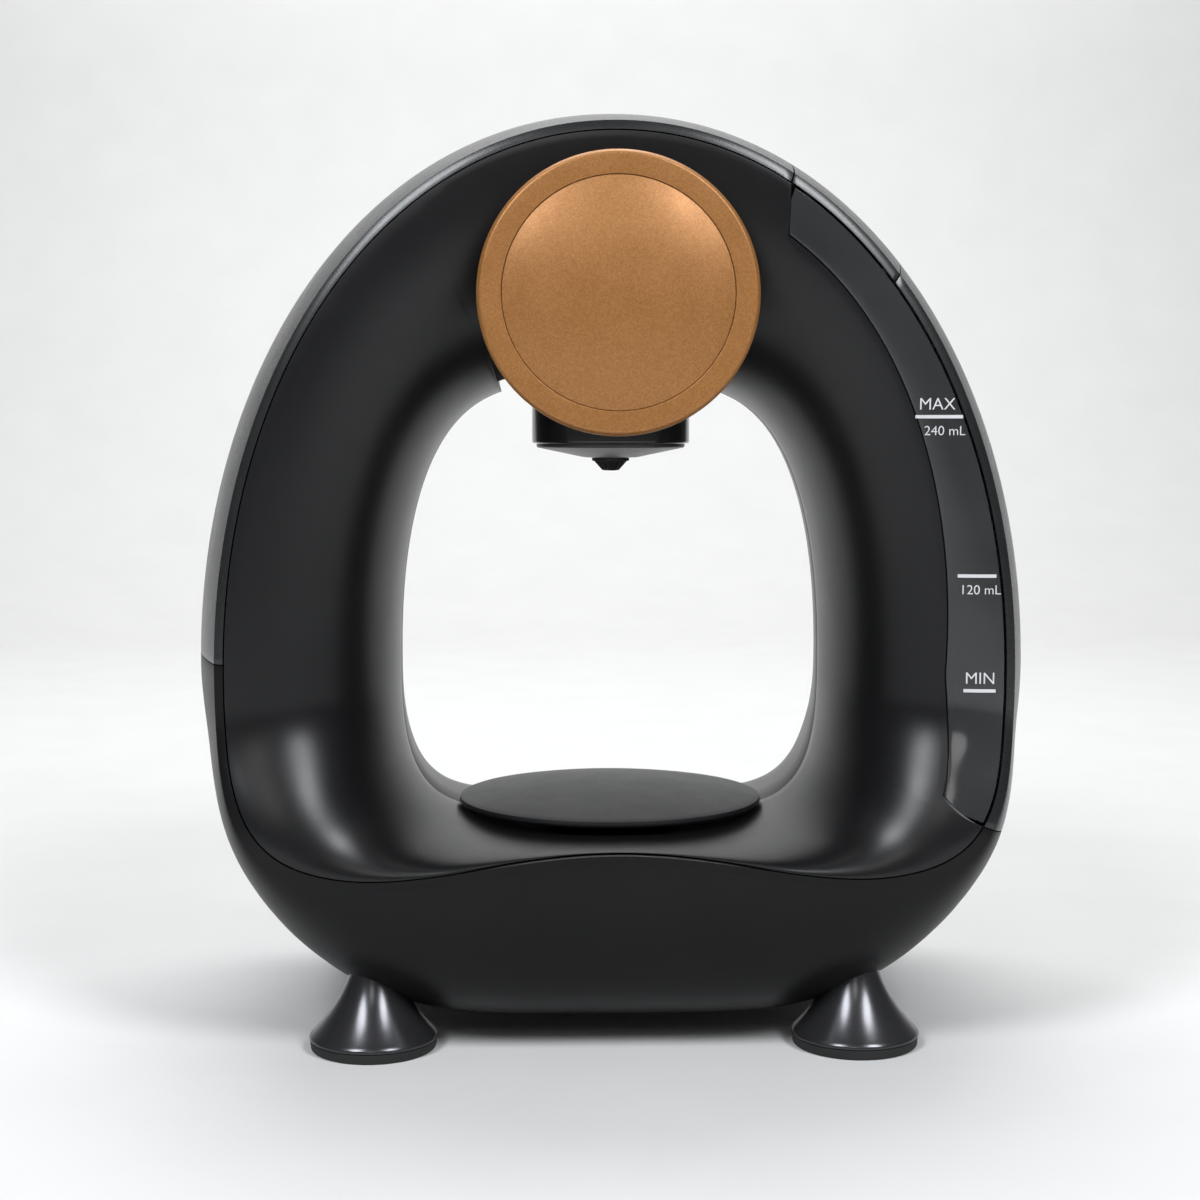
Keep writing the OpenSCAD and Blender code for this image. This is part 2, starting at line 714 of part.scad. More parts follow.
module brew_button() {
    color("#3a3b3d")
    rotate_extrude()
        polygon([[0, button_low], [button_r + 1.2, button_low], [button_r + 1.2, button_low + button_flange],
            [button_r, button_low + button_flange], [button_r, body_top + 0.5], [button_r - 0.4, body_top + 0.9],
            [0, body_top + 0.9]]);
}
module button_bezel() {
    color("#1a1a1b")
    translate([0, 0, body_top - bezel_depth])
    difference() {
        cylinder(r = bezel_r, h = bezel_depth + 0.1);
        translate([0, 0, -1])
            cylinder(r = button_r + slide_gap, h = 20);
    }
}
module button_switch() {
    color("#202224")
    block([-5, -5, switch_low], [5, 5, switch_high]);
}
module control_board() {
    color("#1f4a33")
    block([-40, -38, base_top + seat_gap], [0, -12, base_top + 1.6]);
}

module base_plate() {
    color("#2a2b2c")
    union() {
        block([-post_x - 8, -post_y - 6, base_z], [post_x + 8, post_y + 6, base_top]);
        for (x = [-post_x, post_x], y = [-post_y, post_y])
            translate([x, y, floor_gap + 7.2])
                cylinder(r = 4, h = base_z - floor_gap - 6.7);
    }
}
module water_pump() {
    color("#c2c4c4")
    translate([pump_x - 30, pump_y, pump_z])
    rotate([0, 90, 0])
    union() {
        cylinder(r = pump_r, h = 46);
        translate([0, 0, 45])
            cylinder(r = pump_r - 5, h = 15);
    }
}
module pump_cradle() {
    color("#3b3c3d")
    difference() {
        for (x = [pump_x - 26, pump_x + 4])
            block([x, pump_y - pump_r, base_top + seat_gap], [x + 7, pump_y + pump_r, pump_z - 5]);
        translate([pump_x - 40, pump_y, pump_z])
        rotate([0, 90, 0])
            cylinder(r = pump_r + seat_gap, h = 90);
    }
}
heater_low = base_top + shim_thickness + 2 * seat_gap;
module heater_shim() {
    color("#d8d3c4")
    block([heater_x - heater_size[0] / 2, heater_y - heater_size[1] / 2, base_top + seat_gap],
        [heater_x + heater_size[0] / 2, heater_y + heater_size[1] / 2, base_top + seat_gap + shim_thickness]);
}
module heater_block() {
    color("#a9abad")
    difference() {
        block([heater_x - heater_size[0] / 2, heater_y - heater_size[1] / 2, heater_low],
            [heater_x + heater_size[0] / 2, heater_y + heater_size[1] / 2, heater_low + heater_size[2]]);
        translate([heater_x - 30, heater_y, heater_low + 12])
        rotate([0, 90, 0])
            cylinder(r = 3, h = 40);
    }
}
module thermostat() {
    color("#c8c9c6")
    translate([heater_x, heater_y, heater_low + heater_size[2] + seat_gap])
    union() {
        cylinder(r = 8, h = 4);
        translate([0, 0, 3.5])
            cylinder(r = 5, h = 2.5);
    }
}

outlet_down = [sin(outlet_angle), 0, -cos(outlet_angle)];
outlet_end = [outlet_radius * cos(outlet_angle), 0, waist_height + outlet_radius * sin(outlet_angle)]
    + 12.2 * outlet_down;
module supply_hose() {
    start = pump_x + 30 + seat_gap;
    color("#d2d4d2")
    tube([outlet_end, outlet_end + 4 * outlet_down, outlet_end + 8 * outlet_down, [68, 8, base_top + 24],
        [40, pump_y + 2, pump_z + 2], [start + 10, pump_y, pump_z], [start + 5, pump_y, pump_z],
        [start, pump_y, pump_z]], hose_r, hose_bore);
}
module pump_hose() {
    start = pump_x - 30 - seat_gap;
    end = heater_x - heater_size[0] / 2 - seat_gap;
    port_z = heater_low + 12;
    color("#d2d4d2")
    tube([[start, pump_y, pump_z], [start - 4, pump_y, pump_z], [start - 8, pump_y, pump_z],
        [start - 13, pump_y - 14, pump_z - 2], [start, -32, port_z + 2], [-20, -30, port_z + 1],
        [end - 10, heater_y, port_z], [end - 5, heater_y, port_z], [end, heater_y, port_z]],
        hose_r, hose_bore);
}
module riser_tube() {
    port = [heater_x - 12, heater_y + 12, heater_low + heater_size[2] + seat_gap];
    leg = seam_half_width - 14;
    shoulder = waist_height + 0.69 * (body_top - waist_height);
    room = body_top - wall - spigot_high;
    bend = 0.36 * room;
    bend_low = spigot_high + 0.1 * room;
    color("#dcdedc")
    tube([port, port + [0, 0, 2], port + [0, 0, 4], port + [-6, 20, 7], [-12, 42, port[2] + 6],
        [-42, 45, port[2] + 5], [-76, 36, platform_height + 5], [-leg + 6, 26, waist_height - 12],
        [-leg, 22, waist_height + 30], [-leg + 9, 22, waist_height + 70], [-62, 22, shoulder],
        [-30, 18, spigot_high + 0.3 * room], [-bend, spigot_y, bend_low + bend],
        [-0.29 * bend, spigot_y, bend_low + 0.71 * bend], [0, spigot_y, bend_low],
        [0, spigot_y, (bend_low + spigot_high) / 2], [0, spigot_y, spigot_high + seat_gap]],
        hose_r - 0.3, hose_bore - 0.2);
}

// Entry for the mains lead on the rear face
inlet_angle = -50;
inlet_share = 0.28;
inlet_length = arch_half_depth + 5 + disc_thickness + dome_rise - rear_half_depth;
module power_inlet() {
    spot = rear_point(inlet_angle, inlet_share);
    high = rear_point(inlet_angle, inlet_share - 0.2)[1];
    color("#151516")
    translate([spot[0], high + seat_gap, spot[2]])
    rotate([-90, 0, 0])
    rotate_extrude()
        polygon([[2.6, 0], [8, 0], [8, 1.4], [5.5, 1.8], [4.8, inlet_length], [2.6, inlet_length]]);
}
module case_screws() {
    color("#77787a")
    for (t = [38, 142, 196, 344])
        let (spot = rear_point(t, 0.25))
        let (high = max(rear_point(t - 2, 0.18)[1], rear_point(t + 2, 0.18)[1]))
        translate([spot[0], high + seat_gap, spot[2]])
        rotate([-90, 0, 0])
        difference() {
            cylinder(r = 3, h = 1.4);
            translate([0, 0, 0.6])
                cylinder(r = 1.4, h = 2, $fn = 6);
        }
}

ring_r = plate_foot_r - 0.6;
module cup_plate() {
    low = platform_height + plate_foot_gap + 0.6;
    top = plate_z + plate_thickness;
    color("#1d1d1e")
    rotate_extrude($fn = 96)
        polygon(concat(
            [[0, low], [ring_r - 3, low], [ring_r - 3, low + 0.6], [ring_r + seat_gap, low + 0.6],
                [ring_r + seat_gap, low], [plate_foot_r + 1.5, low], [plate_foot_r + 1.5, plate_z],
                [plate_r - 0.7, plate_z], [plate_r, plate_z + 0.7], [plate_r, top - 0.7]],
            [for (k = span(0.985, 0, 10)) [plate_r * k, top + plate_dome * (1 - k * k)]]));
}
module plate_ring() {
    color("#0e0e0e")
    translate([0, 0, platform_height + plate_foot_gap])
    difference() {
        cylinder(r = ring_r, h = 1.1);
        translate([0, 0, -1])
            cylinder(r = ring_r - 2.8, h = 4);
    }
}

// The underside of the lower shell over one foot, thickened upwards to trim the foot
module underside(side_x, side_y) {
    steps = 40;
    angles = span(left_joint + joint_gap, right_joint - joint_gap, steps);
    middle = floor(steps / 2);
    first = side_x < 0 ? 3 : middle + 2;
    rows = [for (i = [first : first + 15]) [for (k = span(18, 90, 4)) band_point(angles[i], k, side_y)]];
    lift = [0, 0, 60];
    rings = [for (r = rows) concat([for (q = r) q - [0, 0, seat_gap]], [for (q = backwards(r)) q + lift])];
    skin(side_y < 0 ? rings : backwards(rings));
}
module foot(side_x, side_y) {
    low = pad_height;
    high = pad_height + 24;
    neck = 6;
    color("#4a4a4c")
    difference() {
        translate([side_x * foot_x, side_y * foot_y, 0])
        rotate_extrude()
            polygon(concat([[0, low], [foot_r, low]],
                [for (u = span(0, 1, 12)) [neck + (foot_r - neck) * pow(1 - u, 1.85), low + 0.8 + (high - low) * u]],
                [[neck, high + 12], [0, high + 12]]));
        underside(side_x, side_y);
    }
}
module foot_pad(side_x, side_y) {
    color("#0f0f0f")
    translate([side_x * foot_x, side_y * foot_y, 0])
    rotate_extrude()
        polygon([[0, 0], [foot_r - 1, 0], [foot_r - 0.3, 0.7], [foot_r - 0.3, pad_height - seat_gap],
            [0, pad_height - seat_gap]]);
}
module foot_front_left() { foot(-1, -1); }
module foot_front_right() { foot(1, -1); }
module foot_rear_left() { foot(-1, 1); }
module foot_rear_right() { foot(1, 1); }
module pad_front_left() { foot_pad(-1, -1); }
module pad_front_right() { foot_pad(1, -1); }
module pad_rear_left() { foot_pad(-1, 1); }
module pad_rear_right() { foot_pad(1, 1); }

front_panel();
rear_panel();
upper_band();
side_band();
lower_shell();
inner_frame();
tank();
tank_lid();
lid_pin();
hinge_leaf();
lid_seal();
tank_outlet();
tank_filter();
brew_chassis();
drawer_rails();
rail_glides();
spray_head();
spray_seal();
brew_disc();
disc_dome();
disc_carrier();
pod_holder();
filter_basket();
drip_cone();
drip_nozzle();
brew_button();
button_bezel();
button_switch();
control_board();
base_plate();
water_pump();
pump_cradle();
heater_block();
heater_shim();
thermostat();
supply_hose();
pump_hose();
riser_tube();
power_inlet();
case_screws();
cup_plate();
plate_ring();
foot_front_left();
foot_front_right();
foot_rear_left();
foot_rear_right();
pad_front_left();
pad_front_right();
pad_rear_left();
pad_rear_right();
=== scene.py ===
# Dual-brew coffee maker: egg-shaped ring body on trumpet feet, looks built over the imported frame
import bpy
import bmesh
import json
import math
from functools import lru_cache
from itertools import product
from mathutils import Vector, Matrix


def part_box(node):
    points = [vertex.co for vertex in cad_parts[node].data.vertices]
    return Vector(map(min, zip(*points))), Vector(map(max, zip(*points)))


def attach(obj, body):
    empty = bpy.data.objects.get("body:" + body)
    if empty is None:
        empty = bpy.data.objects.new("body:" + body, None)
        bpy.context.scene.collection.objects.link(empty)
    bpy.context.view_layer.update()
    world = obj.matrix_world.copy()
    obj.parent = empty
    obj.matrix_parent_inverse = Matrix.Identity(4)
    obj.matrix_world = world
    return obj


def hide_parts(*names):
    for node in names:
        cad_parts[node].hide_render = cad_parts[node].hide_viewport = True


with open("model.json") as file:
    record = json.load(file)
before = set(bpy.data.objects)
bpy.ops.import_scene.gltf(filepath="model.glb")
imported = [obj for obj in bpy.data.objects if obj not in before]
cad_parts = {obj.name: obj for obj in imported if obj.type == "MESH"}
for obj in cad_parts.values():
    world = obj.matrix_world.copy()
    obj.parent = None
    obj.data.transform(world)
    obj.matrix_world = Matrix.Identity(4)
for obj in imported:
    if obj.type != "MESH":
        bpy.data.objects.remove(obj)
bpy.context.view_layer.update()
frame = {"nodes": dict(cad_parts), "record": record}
nodes = frame["nodes"]
scene = bpy.context.scene
mm = 0.001
print("frame loaded,", len(nodes), "nodes")

# camera at the photograph's place, metres and degrees
photoView = {"lens": 60.0, "sensor": 36.0, "place": (-0.0215, -0.620, 0.1788), "tilt": 85.25, "turn": -1.7}


def addObject(name, data):
    made = bpy.data.objects.new(name, data)
    scene.collection.objects.link(made)
    return made


def setCamera(view):
    lens = bpy.data.cameras.new("photoCamera")
    lens.lens = view["lens"]
    lens.sensor_width = view["sensor"]
    camera = addObject("photoCamera", lens)
    camera.location = view["place"]
    camera.rotation_euler = (math.radians(view["tilt"]), 0, math.radians(view["turn"]))
    scene.camera = camera


setCamera(photoView)
scene.view_settings.view_transform = "Standard"


# a new material, its tree and shader, and the socket for a place on the piece
def startMaterial(name):
    material = bpy.data.materials.new(name)
    material.use_nodes = True
    tree = material.node_tree
    where = addNode(tree, "ShaderNodeTexCoord").outputs["Object"]
    return material, tree, tree.nodes["Principled BSDF"], where


def addNode(tree, kind, sockets=None, **settings):
    node = tree.nodes.new(kind)
    for key, value in settings.items():
        setattr(node, key, value)
    for key, value in (sockets or {}).items():
        node.inputs[key].default_value = value
    return node


def noiseAt(tree, place, size, detail=2.0, rough=0.5, stretch=None):
    source = place
    if stretch:
        mapping = addNode(tree, "ShaderNodeMapping", {"Scale": stretch})
        tree.links.new(place, mapping.inputs["Vector"])
        source = mapping.outputs["Vector"]
    noise = addNode(tree, "ShaderNodeTexNoise", {"Scale": 1 / size, "Detail": detail, "Roughness": rough})
    tree.links.new(source, noise.inputs["Vector"])
    return noise.outputs["Fac"]


noiseSpan = (0.3, 0.7)  # where most of a noise lies


# gloss that wanders between two roughnesses
def addGloss(tree, shader, value, rough):
    span = addNode(tree, "ShaderNodeMapRange", {"From Min": noiseSpan[0], "From Max": noiseSpan[1],
                                                "To Min": rough[0], "To Max": rough[1]})
    tree.links.new(value, span.inputs["Value"])
    tree.links.new(span.outputs["Result"], shader.inputs["Roughness"])


# colour that wanders between two tones
def addTone(tree, shader, value, dark, light, span=noiseSpan):
    ramp = addNode(tree, "ShaderNodeValToRGB")
    for element, position, tone in zip(ramp.color_ramp.elements, span, (dark, light)):
        element.position = position
        element.color = (*tone, 1)
    tree.links.new(value, ramp.inputs["Fac"])
    tree.links.new(ramp.outputs["Color"], shader.inputs["Base Color"])


def addBump(tree, shader, height, look):
    bump = addNode(tree, "ShaderNodeBump", {"Strength": look["bump"], "Distance": look["relief"]})
    tree.links.new(height, bump.inputs["Height"])
    tree.links.new(bump.outputs["Normal"], shader.inputs["Normal"])


# what a moulded finish has unless its look says otherwise, sizes in metres:
# cloud is the slow colour change, smear the slow change of gloss, grain the fine surface
plainLook = {"cloud": 0.03, "smear": 0.012, "grain": 0.0005, "stretch": None, "bump": 0.2, "relief": 0.00004,
             "rough": (0.45, 0.6), "metal": 0.0, "specular": 0.5, "coat": 0.0, "coatRough": 0.1}


def mouldedFinish(name, changes):
    look = {**plainLook, **changes}
    material, tree, shader, where = startMaterial(name)
    join = tree.links.new
    cloud = noiseAt(tree, where, look["cloud"], detail=3)
    addTone(tree, shader, cloud, look["dark"], look["light"])
    fine = noiseAt(tree, where, look["grain"], rough=0.6, stretch=look["stretch"])
    smear = noiseAt(tree, where, look["smear"], detail=4, rough=0.65)
    half = addNode(tree, "ShaderNodeMath", {1: 0.5}, operation="MULTIPLY")
    mixed = addNode(tree, "ShaderNodeMath", {1: 0.5}, operation="MULTIPLY_ADD")
    join(smear, half.inputs[0])
    join(fine, mixed.inputs[0])
    join(half.outputs[0], mixed.inputs[2])
    addGloss(tree, shader, mixed.outputs[0], look["rough"])
    addBump(tree, shader, fine, look)
    for socket, value in (("Metallic", look["metal"]), ("Specular IOR Level", look["specular"]),
                          ("Coat Weight", look["coat"]), ("Coat Roughness", look["coatRough"])):
        shader.inputs[socket].default_value = value
    return material


finishes = {
    "panelBlack": {"dark": (0.0048, 0.0048, 0.0053), "light": (0.0064, 0.0064, 0.007),
        "rough": (0.29, 0.36), "specular": 0.36},
    "bandSatin": {"dark": (0.0105, 0.0108, 0.0118), "light": (0.0135, 0.0138, 0.015),
        "rough": (0.24, 0.33), "bump": 0.08},
    "apronBlack": {"dark": (0.0042, 0.0042, 0.0046), "light": (0.0056, 0.0056, 0.006),
        "rough": (0.32, 0.42), "specular": 0.2},
    "glossBlack": {"dark": (0.006, 0.006, 0.0065), "light": (0.0085, 0.0085, 0.009), "rough": (0.1, 0.18),
        "grain": 0.002, "bump": 0.03, "coat": 0.3},
    "coneGrey": {"dark": (0.03, 0.03, 0.031), "light": (0.042, 0.042, 0.043), "rough": (0.32, 0.44),
        "grain": 0.0006},
    "frameGrey": {"dark": (0.026, 0.027, 0.029), "light": (0.036, 0.037, 0.039), "grain": 0.0008},
    "rubberBlack": {"dark": (0.007, 0.007, 0.007), "light": (0.012, 0.012, 0.012), "rough": (0.62, 0.8),
        "grain": 0.0004, "bump": 0.4},
    "footGunmetal": {"dark": (0.056, 0.056, 0.06), "light": (0.074, 0.074, 0.079), "rough": (0.19, 0.27),
        "metal": 0.72, "grain": 0.0004, "bump": 0.06},
    "plateSatin": {"dark": (0.0085, 0.0086, 0.0095), "light": (0.0115, 0.0115, 0.0125),
        "rough": (0.38, 0.48), "bump": 0.08, "specular": 0.2},
    "nylonWhite": {"dark": (0.68, 0.68, 0.65), "light": (0.78, 0.78, 0.75), "rough": (0.4, 0.55),
        "grain": 0.0008},
    "siliconeGrey": {"dark": (0.25, 0.25, 0.24), "light": (0.33, 0.33, 0.32), "grain": 0.0008},
    "hoseClear": {"dark": (0.55, 0.57, 0.56), "light": (0.66, 0.68, 0.67), "rough": (0.25, 0.35),
        "grain": 0.003},
    "sprayWhite": {"dark": (0.52, 0.52, 0.5), "light": (0.62, 0.62, 0.6), "rough": (0.35, 0.5),
        "grain": 0.0008},
    "boardGreen": {"dark": (0.008, 0.05, 0.024), "light": (0.014, 0.08, 0.038), "rough": (0.3, 0.42),
        "grain": 0.002},
    "printWhite": {"dark": (0.53, 0.535, 0.55), "light": (0.61, 0.615, 0.63), "grain": 0.0004},
    "steelBright": {"dark": (0.42, 0.43, 0.44), "light": (0.56, 0.57, 0.58), "rough": (0.2, 0.34),
        "metal": 1.0, "stretch": (1, 1, 12), "bump": 0.12},
    "steelDark": {"dark": (0.16, 0.16, 0.165), "light": (0.24, 0.24, 0.245), "rough": (0.28, 0.4),
        "metal": 1.0, "bump": 0.1},
    "castAlloy": {"dark": (0.3, 0.31, 0.32), "light": (0.4, 0.41, 0.42), "rough": (0.4, 0.55),
        "metal": 0.9, "grain": 0.0012, "bump": 0.4},
}
finish = {name: mouldedFinish(name, look) for name, look in finishes.items()}

copperLook = {"base": (0.28, 0.118, 0.03), "flake": (0.38, 0.172, 0.052), "flakeSize": 0.00028,
              "flakeSpan": (0.2, 1.0), "metal": 0.35, "rough": (0.36, 0.46), "smear": 0.01,
              "bump": 0.12, "relief": 0.00003}


# satin copper paint with fine metal flakes
def copperPaint(look):
    material, tree, shader, where = startMaterial("copperPaint")
    join = tree.links.new
    flakes = addNode(tree, "ShaderNodeTexVoronoi", {"Scale": 1 / look["flakeSize"]})
    join(where, flakes.inputs["Vector"])
    shade = addNode(tree, "ShaderNodeSeparateColor")
    join(flakes.outputs["Color"], shade.inputs["Color"])
    addTone(tree, shader, shade.outputs["Red"], look["base"], look["flake"], look["flakeSpan"])
    addGloss(tree, shader, noiseAt(tree, where, look["smear"], detail=4), look["rough"])
    addBump(tree, shader, shade.outputs["Green"], look)
    shader.inputs["Metallic"].default_value = look["metal"]
    return material


finish["copperPaint"] = copperPaint(copperLook)

smokeLook = {"dark": (0.05, 0.051, 0.054), "light": (0.066, 0.067, 0.07), "cloud": 0.03, "through": 0.5,
             "rough": (0.1, 0.14), "smear": 0.006, "bend": 1.5}


# smoked clear plastic of the tank
def smokedPlastic(look):
    material, tree, shader, where = startMaterial("tankSmoke")
    cloud = noiseAt(tree, where, look["cloud"])
    addTone(tree, shader, cloud, look["dark"], look["light"])
    addGloss(tree, shader, noiseAt(tree, where, look["smear"], detail=4), look["rough"])
    shader.inputs["Transmission Weight"].default_value = look["through"]
    shader.inputs["IOR"].default_value = look["bend"]
    return material


finish["tankSmoke"] = smokedPlastic(smokeLook)
print("finishes made,", len(finish))

# sizes of the body in millimetres and degrees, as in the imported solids;
# flare, ledge, belly and middle say where a change starts and how far it runs
body = {
    "halfWidth": 124.8, "top": 273.6, "waist": 110.0, "floorGap": 6.0, "archDepth": 58.0, "baseDepth": 68.0,
    "rearDepth": 70.0, "wall": 2.5, "seamGap": 0.4, "seamHalf": 110.7, "seamTop": 262.6, "edge": 53.3,
    "rearEdge": 25.3, "wave": 7.9, "waveHalf": 78.0, "lip": 3.0, "lipDrop": 1.2, "round": 2.3,
    "rearRound": 1.7, "holeHalf": 64.8, "holeTop": 194.6, "platform": 62.0, "leftJoint": 178.0,
    "rightJoint": 338.0, "flare": (100.0, 40.0), "ledge": (11.0, 7.0), "belly": (95.0, 65.0),
    "middle": (100.0, 60.0),
}
# powers of the egg curves, above and below the waist
eggPowers = {
    "outer": ((2.1, 2), (3.86, 1.62)), "hole": ((4, 2.2), (6.5, 2.9)),
    "seam": ((2.05, 2.05), (8, 2.6)), "rear": ((2.05, 2.05), (4.4, 2.2)),
}
bandPowers = {"plain": 2.0, "belly": 2.0, "middle": 1.1, "shoulder": 1.2}
tankSize = {"low": -22.0, "high": 70.7, "lidLow": 55.0, "wall": 2.2, "edge": 0.7,
            "rearInset": 14.0, "frontInset": 24.0, "depth": 0.7, "corner": 0.4, "chamfer": 10.0, "lead": 8.0}
windowSize = {"share": 0.37, "thinUp": 0.0022, "thinDown": 0.003, "roundLow": 2.0, "cutHigh": 1.8}
slotSize = {"half": 19.3, "wideHalf": 22.0, "share": 37.5 / 68.0, "wideShare": 57.0 / 68.0, "run": 0.3}
fitGap = 0.12  # clearance between pieces that stay together


def easeIn(t):
    c = max(0.0, min(1.0, t))
    return c * c * (3 - 2 * c)


# 0 above start, 1 once the value is a whole run below it
def falling(value, start, run):
    return easeIn((start - value) / run)


def cosd(t):
    return math.cos(math.radians(t))


def sind(t):
    return math.sin(math.radians(t))


# point at angle t of an egg round the waist
@lru_cache(maxsize=None)
def eggPoint(t, a, up, low, powUp, powLow):
    c, s = cosd(t), sind(t)
    b, power = (up, powUp) if s >= 0 else (low, powLow)
    near, far = 0.0, 2 * max(a, b)
    for _ in range(44):  # halvings
        r = (near + far) / 2
        if (r * abs(c) / a) ** power[0] + (r * abs(s) / b) ** power[1] > 1:
            far = r
        else:
            near = r
    return Vector((r * c, body["waist"] + r * s))


def eggLine(t, curve, half, top, low, grow):
    waist = body["waist"]
    return eggPoint(t, half + grow, top - waist + grow, waist - low + grow, *eggPowers[curve])


def outerLine(t, grow=0.0):
    return eggLine(t, "outer", body["halfWidth"], body["top"], body["floorGap"], grow)


def holeLine(t, grow=0.0):
    return eggLine(t, "hole", body["holeHalf"], body["holeTop"], body["platform"], grow)


def seamLine(t, grow=0.0):
    p = eggLine(t, "seam", body["seamHalf"], body["seamTop"], body["edge"], grow)
    if sind(t) >= 0:
        return p
    return Vector((p.x, p.y + body["wave"] * (0.5 + 0.5 * cosd(180 * min(1, abs(p.x) / body["waveHalf"])))))


def rearLine(t, grow=0.0):
    return eggLine(t, "rear", body["seamHalf"], body["seamTop"], body["rearEdge"], grow)


def sideDepth(z, side):
    base = body["baseDepth"] if side < 0 else body["rearDepth"]
    return body["archDepth"] + (base - body["archDepth"]) * falling(z, *body["flare"])


def facePoint(edge, hole, depth, share, power):
    p = max(0.0, min(1.0, share))
    q = max(0.0, 1 - p ** power) ** (1 / power)
    flat = edge + (hole - edge) * p
    return Vector((flat.x, depth * q, flat.y))


def frontPoint(t, share):
    s, h = seamLine(t), holeLine(t)
    ledge = (body["wall"] + body["seamGap"]) * falling((h - s).length, *body["ledge"])
    return facePoint(s, h, ledge - sideDepth(s.y, -1), share, body["round"])


def rearPower(t):
    return body["round"] + body["rearRound"] * easeIn(-sind(t))


def rearPoint(t, share):
    s = rearLine(t)
    return facePoint(s, holeLine(t), sideDepth(s.y, 1), share, rearPower(t))


# share at which a face stops half a seam gap short of the middle of the hole
def stopShare(depth, power):
    return (1 - (body["seamGap"] / 2 / depth) ** power) ** (1 / power)


# point of a band at angle t, k degrees round its bulge from the seam
def bandPoint(t, k, side):
    line = seamLine if side < 0 else rearLine
    l, s, o = line(t, body["lip"]), line(t), outerLine(t)
    w, powers = falling(o.y, *body["belly"]), bandPowers
    boxy = powers["plain"] + (powers["belly"] + powers["middle"] * falling(abs(o.x), *body["middle"])) * w
    p, q = sind(k) ** (2 / (1 + powers["shoulder"] * w)), max(0.0, cosd(k)) ** (2 / boxy)
    flat = l + (o - l) * p
    return Vector((flat.x, side * (sideDepth(s.y, side) - body["lipDrop"]) * q, flat.y))


def lipPoint(t, side):
    s = (seamLine if side < 0 else rearLine)(t, body["seamGap"])
    return Vector((s.x, side * sideDepth(s.y, side), s.y))


# share of the front face that the tank's window takes at angle t
def tankShare(t):
    low, high, size = tankSize["low"], tankSize["high"], windowSize
    if t < low or t > high:
        return 0.0
    return ((size["share"] - size["thinUp"] * max(0, t) + size["thinDown"] * min(0, t))
            * math.sqrt(min(1, (t - low) / size["roundLow"])) * min(1, (high - t) / size["cutHigh"]))


# share at which a face ends at the drawer's slot: narrow, wide beside it, or the usual end
def slotEnd(t, narrow, wide, end):
    d, run = abs(t - 90), slotSize["run"]
    a, b = (max(0, min(1, (d - slotSize[key] + run) / (2 * run))) for key in ("half", "wideHalf"))
    return narrow + (wide - narrow) * a + (end - wide) * b


def steps(start, end, count):
    return [start + (end - start) * i / count for i in range(count + 1)]


# meshes are written in millimetres and stored in metres
def newObject(name, points, faces, look):
    mesh = bpy.data.meshes.new(name)
    mesh.from_pydata([tuple(c * mm for c in p) for p in points], [], faces)
    mesh.validate()
    mesh.materials.append(finish[look])
    work = bmesh.new()
    work.from_mesh(mesh)
    bmesh.ops.remove_doubles(work, verts=work.verts, dist=1e-7)
    bmesh.ops.recalc_face_normals(work, faces=work.faces)
    work.to_mesh(mesh)
    work.free()
    return addObject(name, mesh)


def bakeModifiers(piece):
    bpy.context.view_layer.update()
    graph = bpy.context.evaluated_depsgraph_get()
    mesh = bpy.data.meshes.new_from_object(piece.evaluated_get(graph))
    piece.modifiers.clear()
    old = piece.data
    piece.data = mesh
    bpy.data.meshes.remove(old)
    mesh.name = piece.name


def dropObject(piece):
    mesh = piece.data
    bpy.data.objects.remove(piece)
    bpy.data.meshes.remove(mesh)


def roundEdges(piece, width, segments=2, angle=32):
    bevel = piece.modifiers.new("edges", "BEVEL")
    bevel.width = width * mm
    bevel.segments = segments
    bevel.limit_method = "ANGLE"
    bevel.angle_limit = math.radians(angle)
    bevel.use_clamp_overlap = True
    bakeModifiers(piece)


def carve(piece, tool, operation="DIFFERENCE"):
    change = piece.modifiers.new("carve", "BOOLEAN")
    change.object = tool
    change.operation = operation
    change.solver = "EXACT"
    bakeModifiers(piece)
    dropObject(tool)


# smooth is the angle in degrees past which an edge stays sharp
def place(piece, bodyName, slotName, *standsFor, smooth=40):
    if smooth:
        piece.data.shade_smooth()
        piece.data.set_sharp_from_angle(angle=math.radians(smooth))
    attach(piece, bodyName)
    if standsFor:
        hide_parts(*standsFor)


# closed wall between an outer and an inner grid
def wallObject(name, outer, inner, loop, look):
    rows, cols = len(outer), len(outer[0])
    points = [p for o, i in zip(outer, inner) for p in o + i[::-1]]
    ring = 2 * cols
    faces = []
    for i in range(rows if loop else rows - 1):
        n = (i + 1) % rows
        for j in range(ring):
            k = (j + 1) % ring
            faces.append((i * ring + j, i * ring + k, n * ring + k, n * ring + j))
    if not loop:
        for base in (0, (rows - 1) * ring):
            for j in range(cols - 1):
                faces.append((base + j, base + j + 1, base + ring - 2 - j, base + ring - 1 - j))
    return newObject(name, points, faces, look)


# solid through loops of equally many points, closed at both ends
def loft(name, loops, look):
    count = len(loops[0])
    points = [p for loop in loops for p in loop]
    faces = [tuple(range(count)), tuple(range(len(points) - 1, len(points) - count - 1, -1))]
    for i in range(len(loops) - 1):
        for j in range(count):
            n = (j + 1) % count
            faces.append((i * count + j, i * count + n, (i + 1) * count + n, (i + 1) * count + j))
    return newObject(name, points, faces, look)


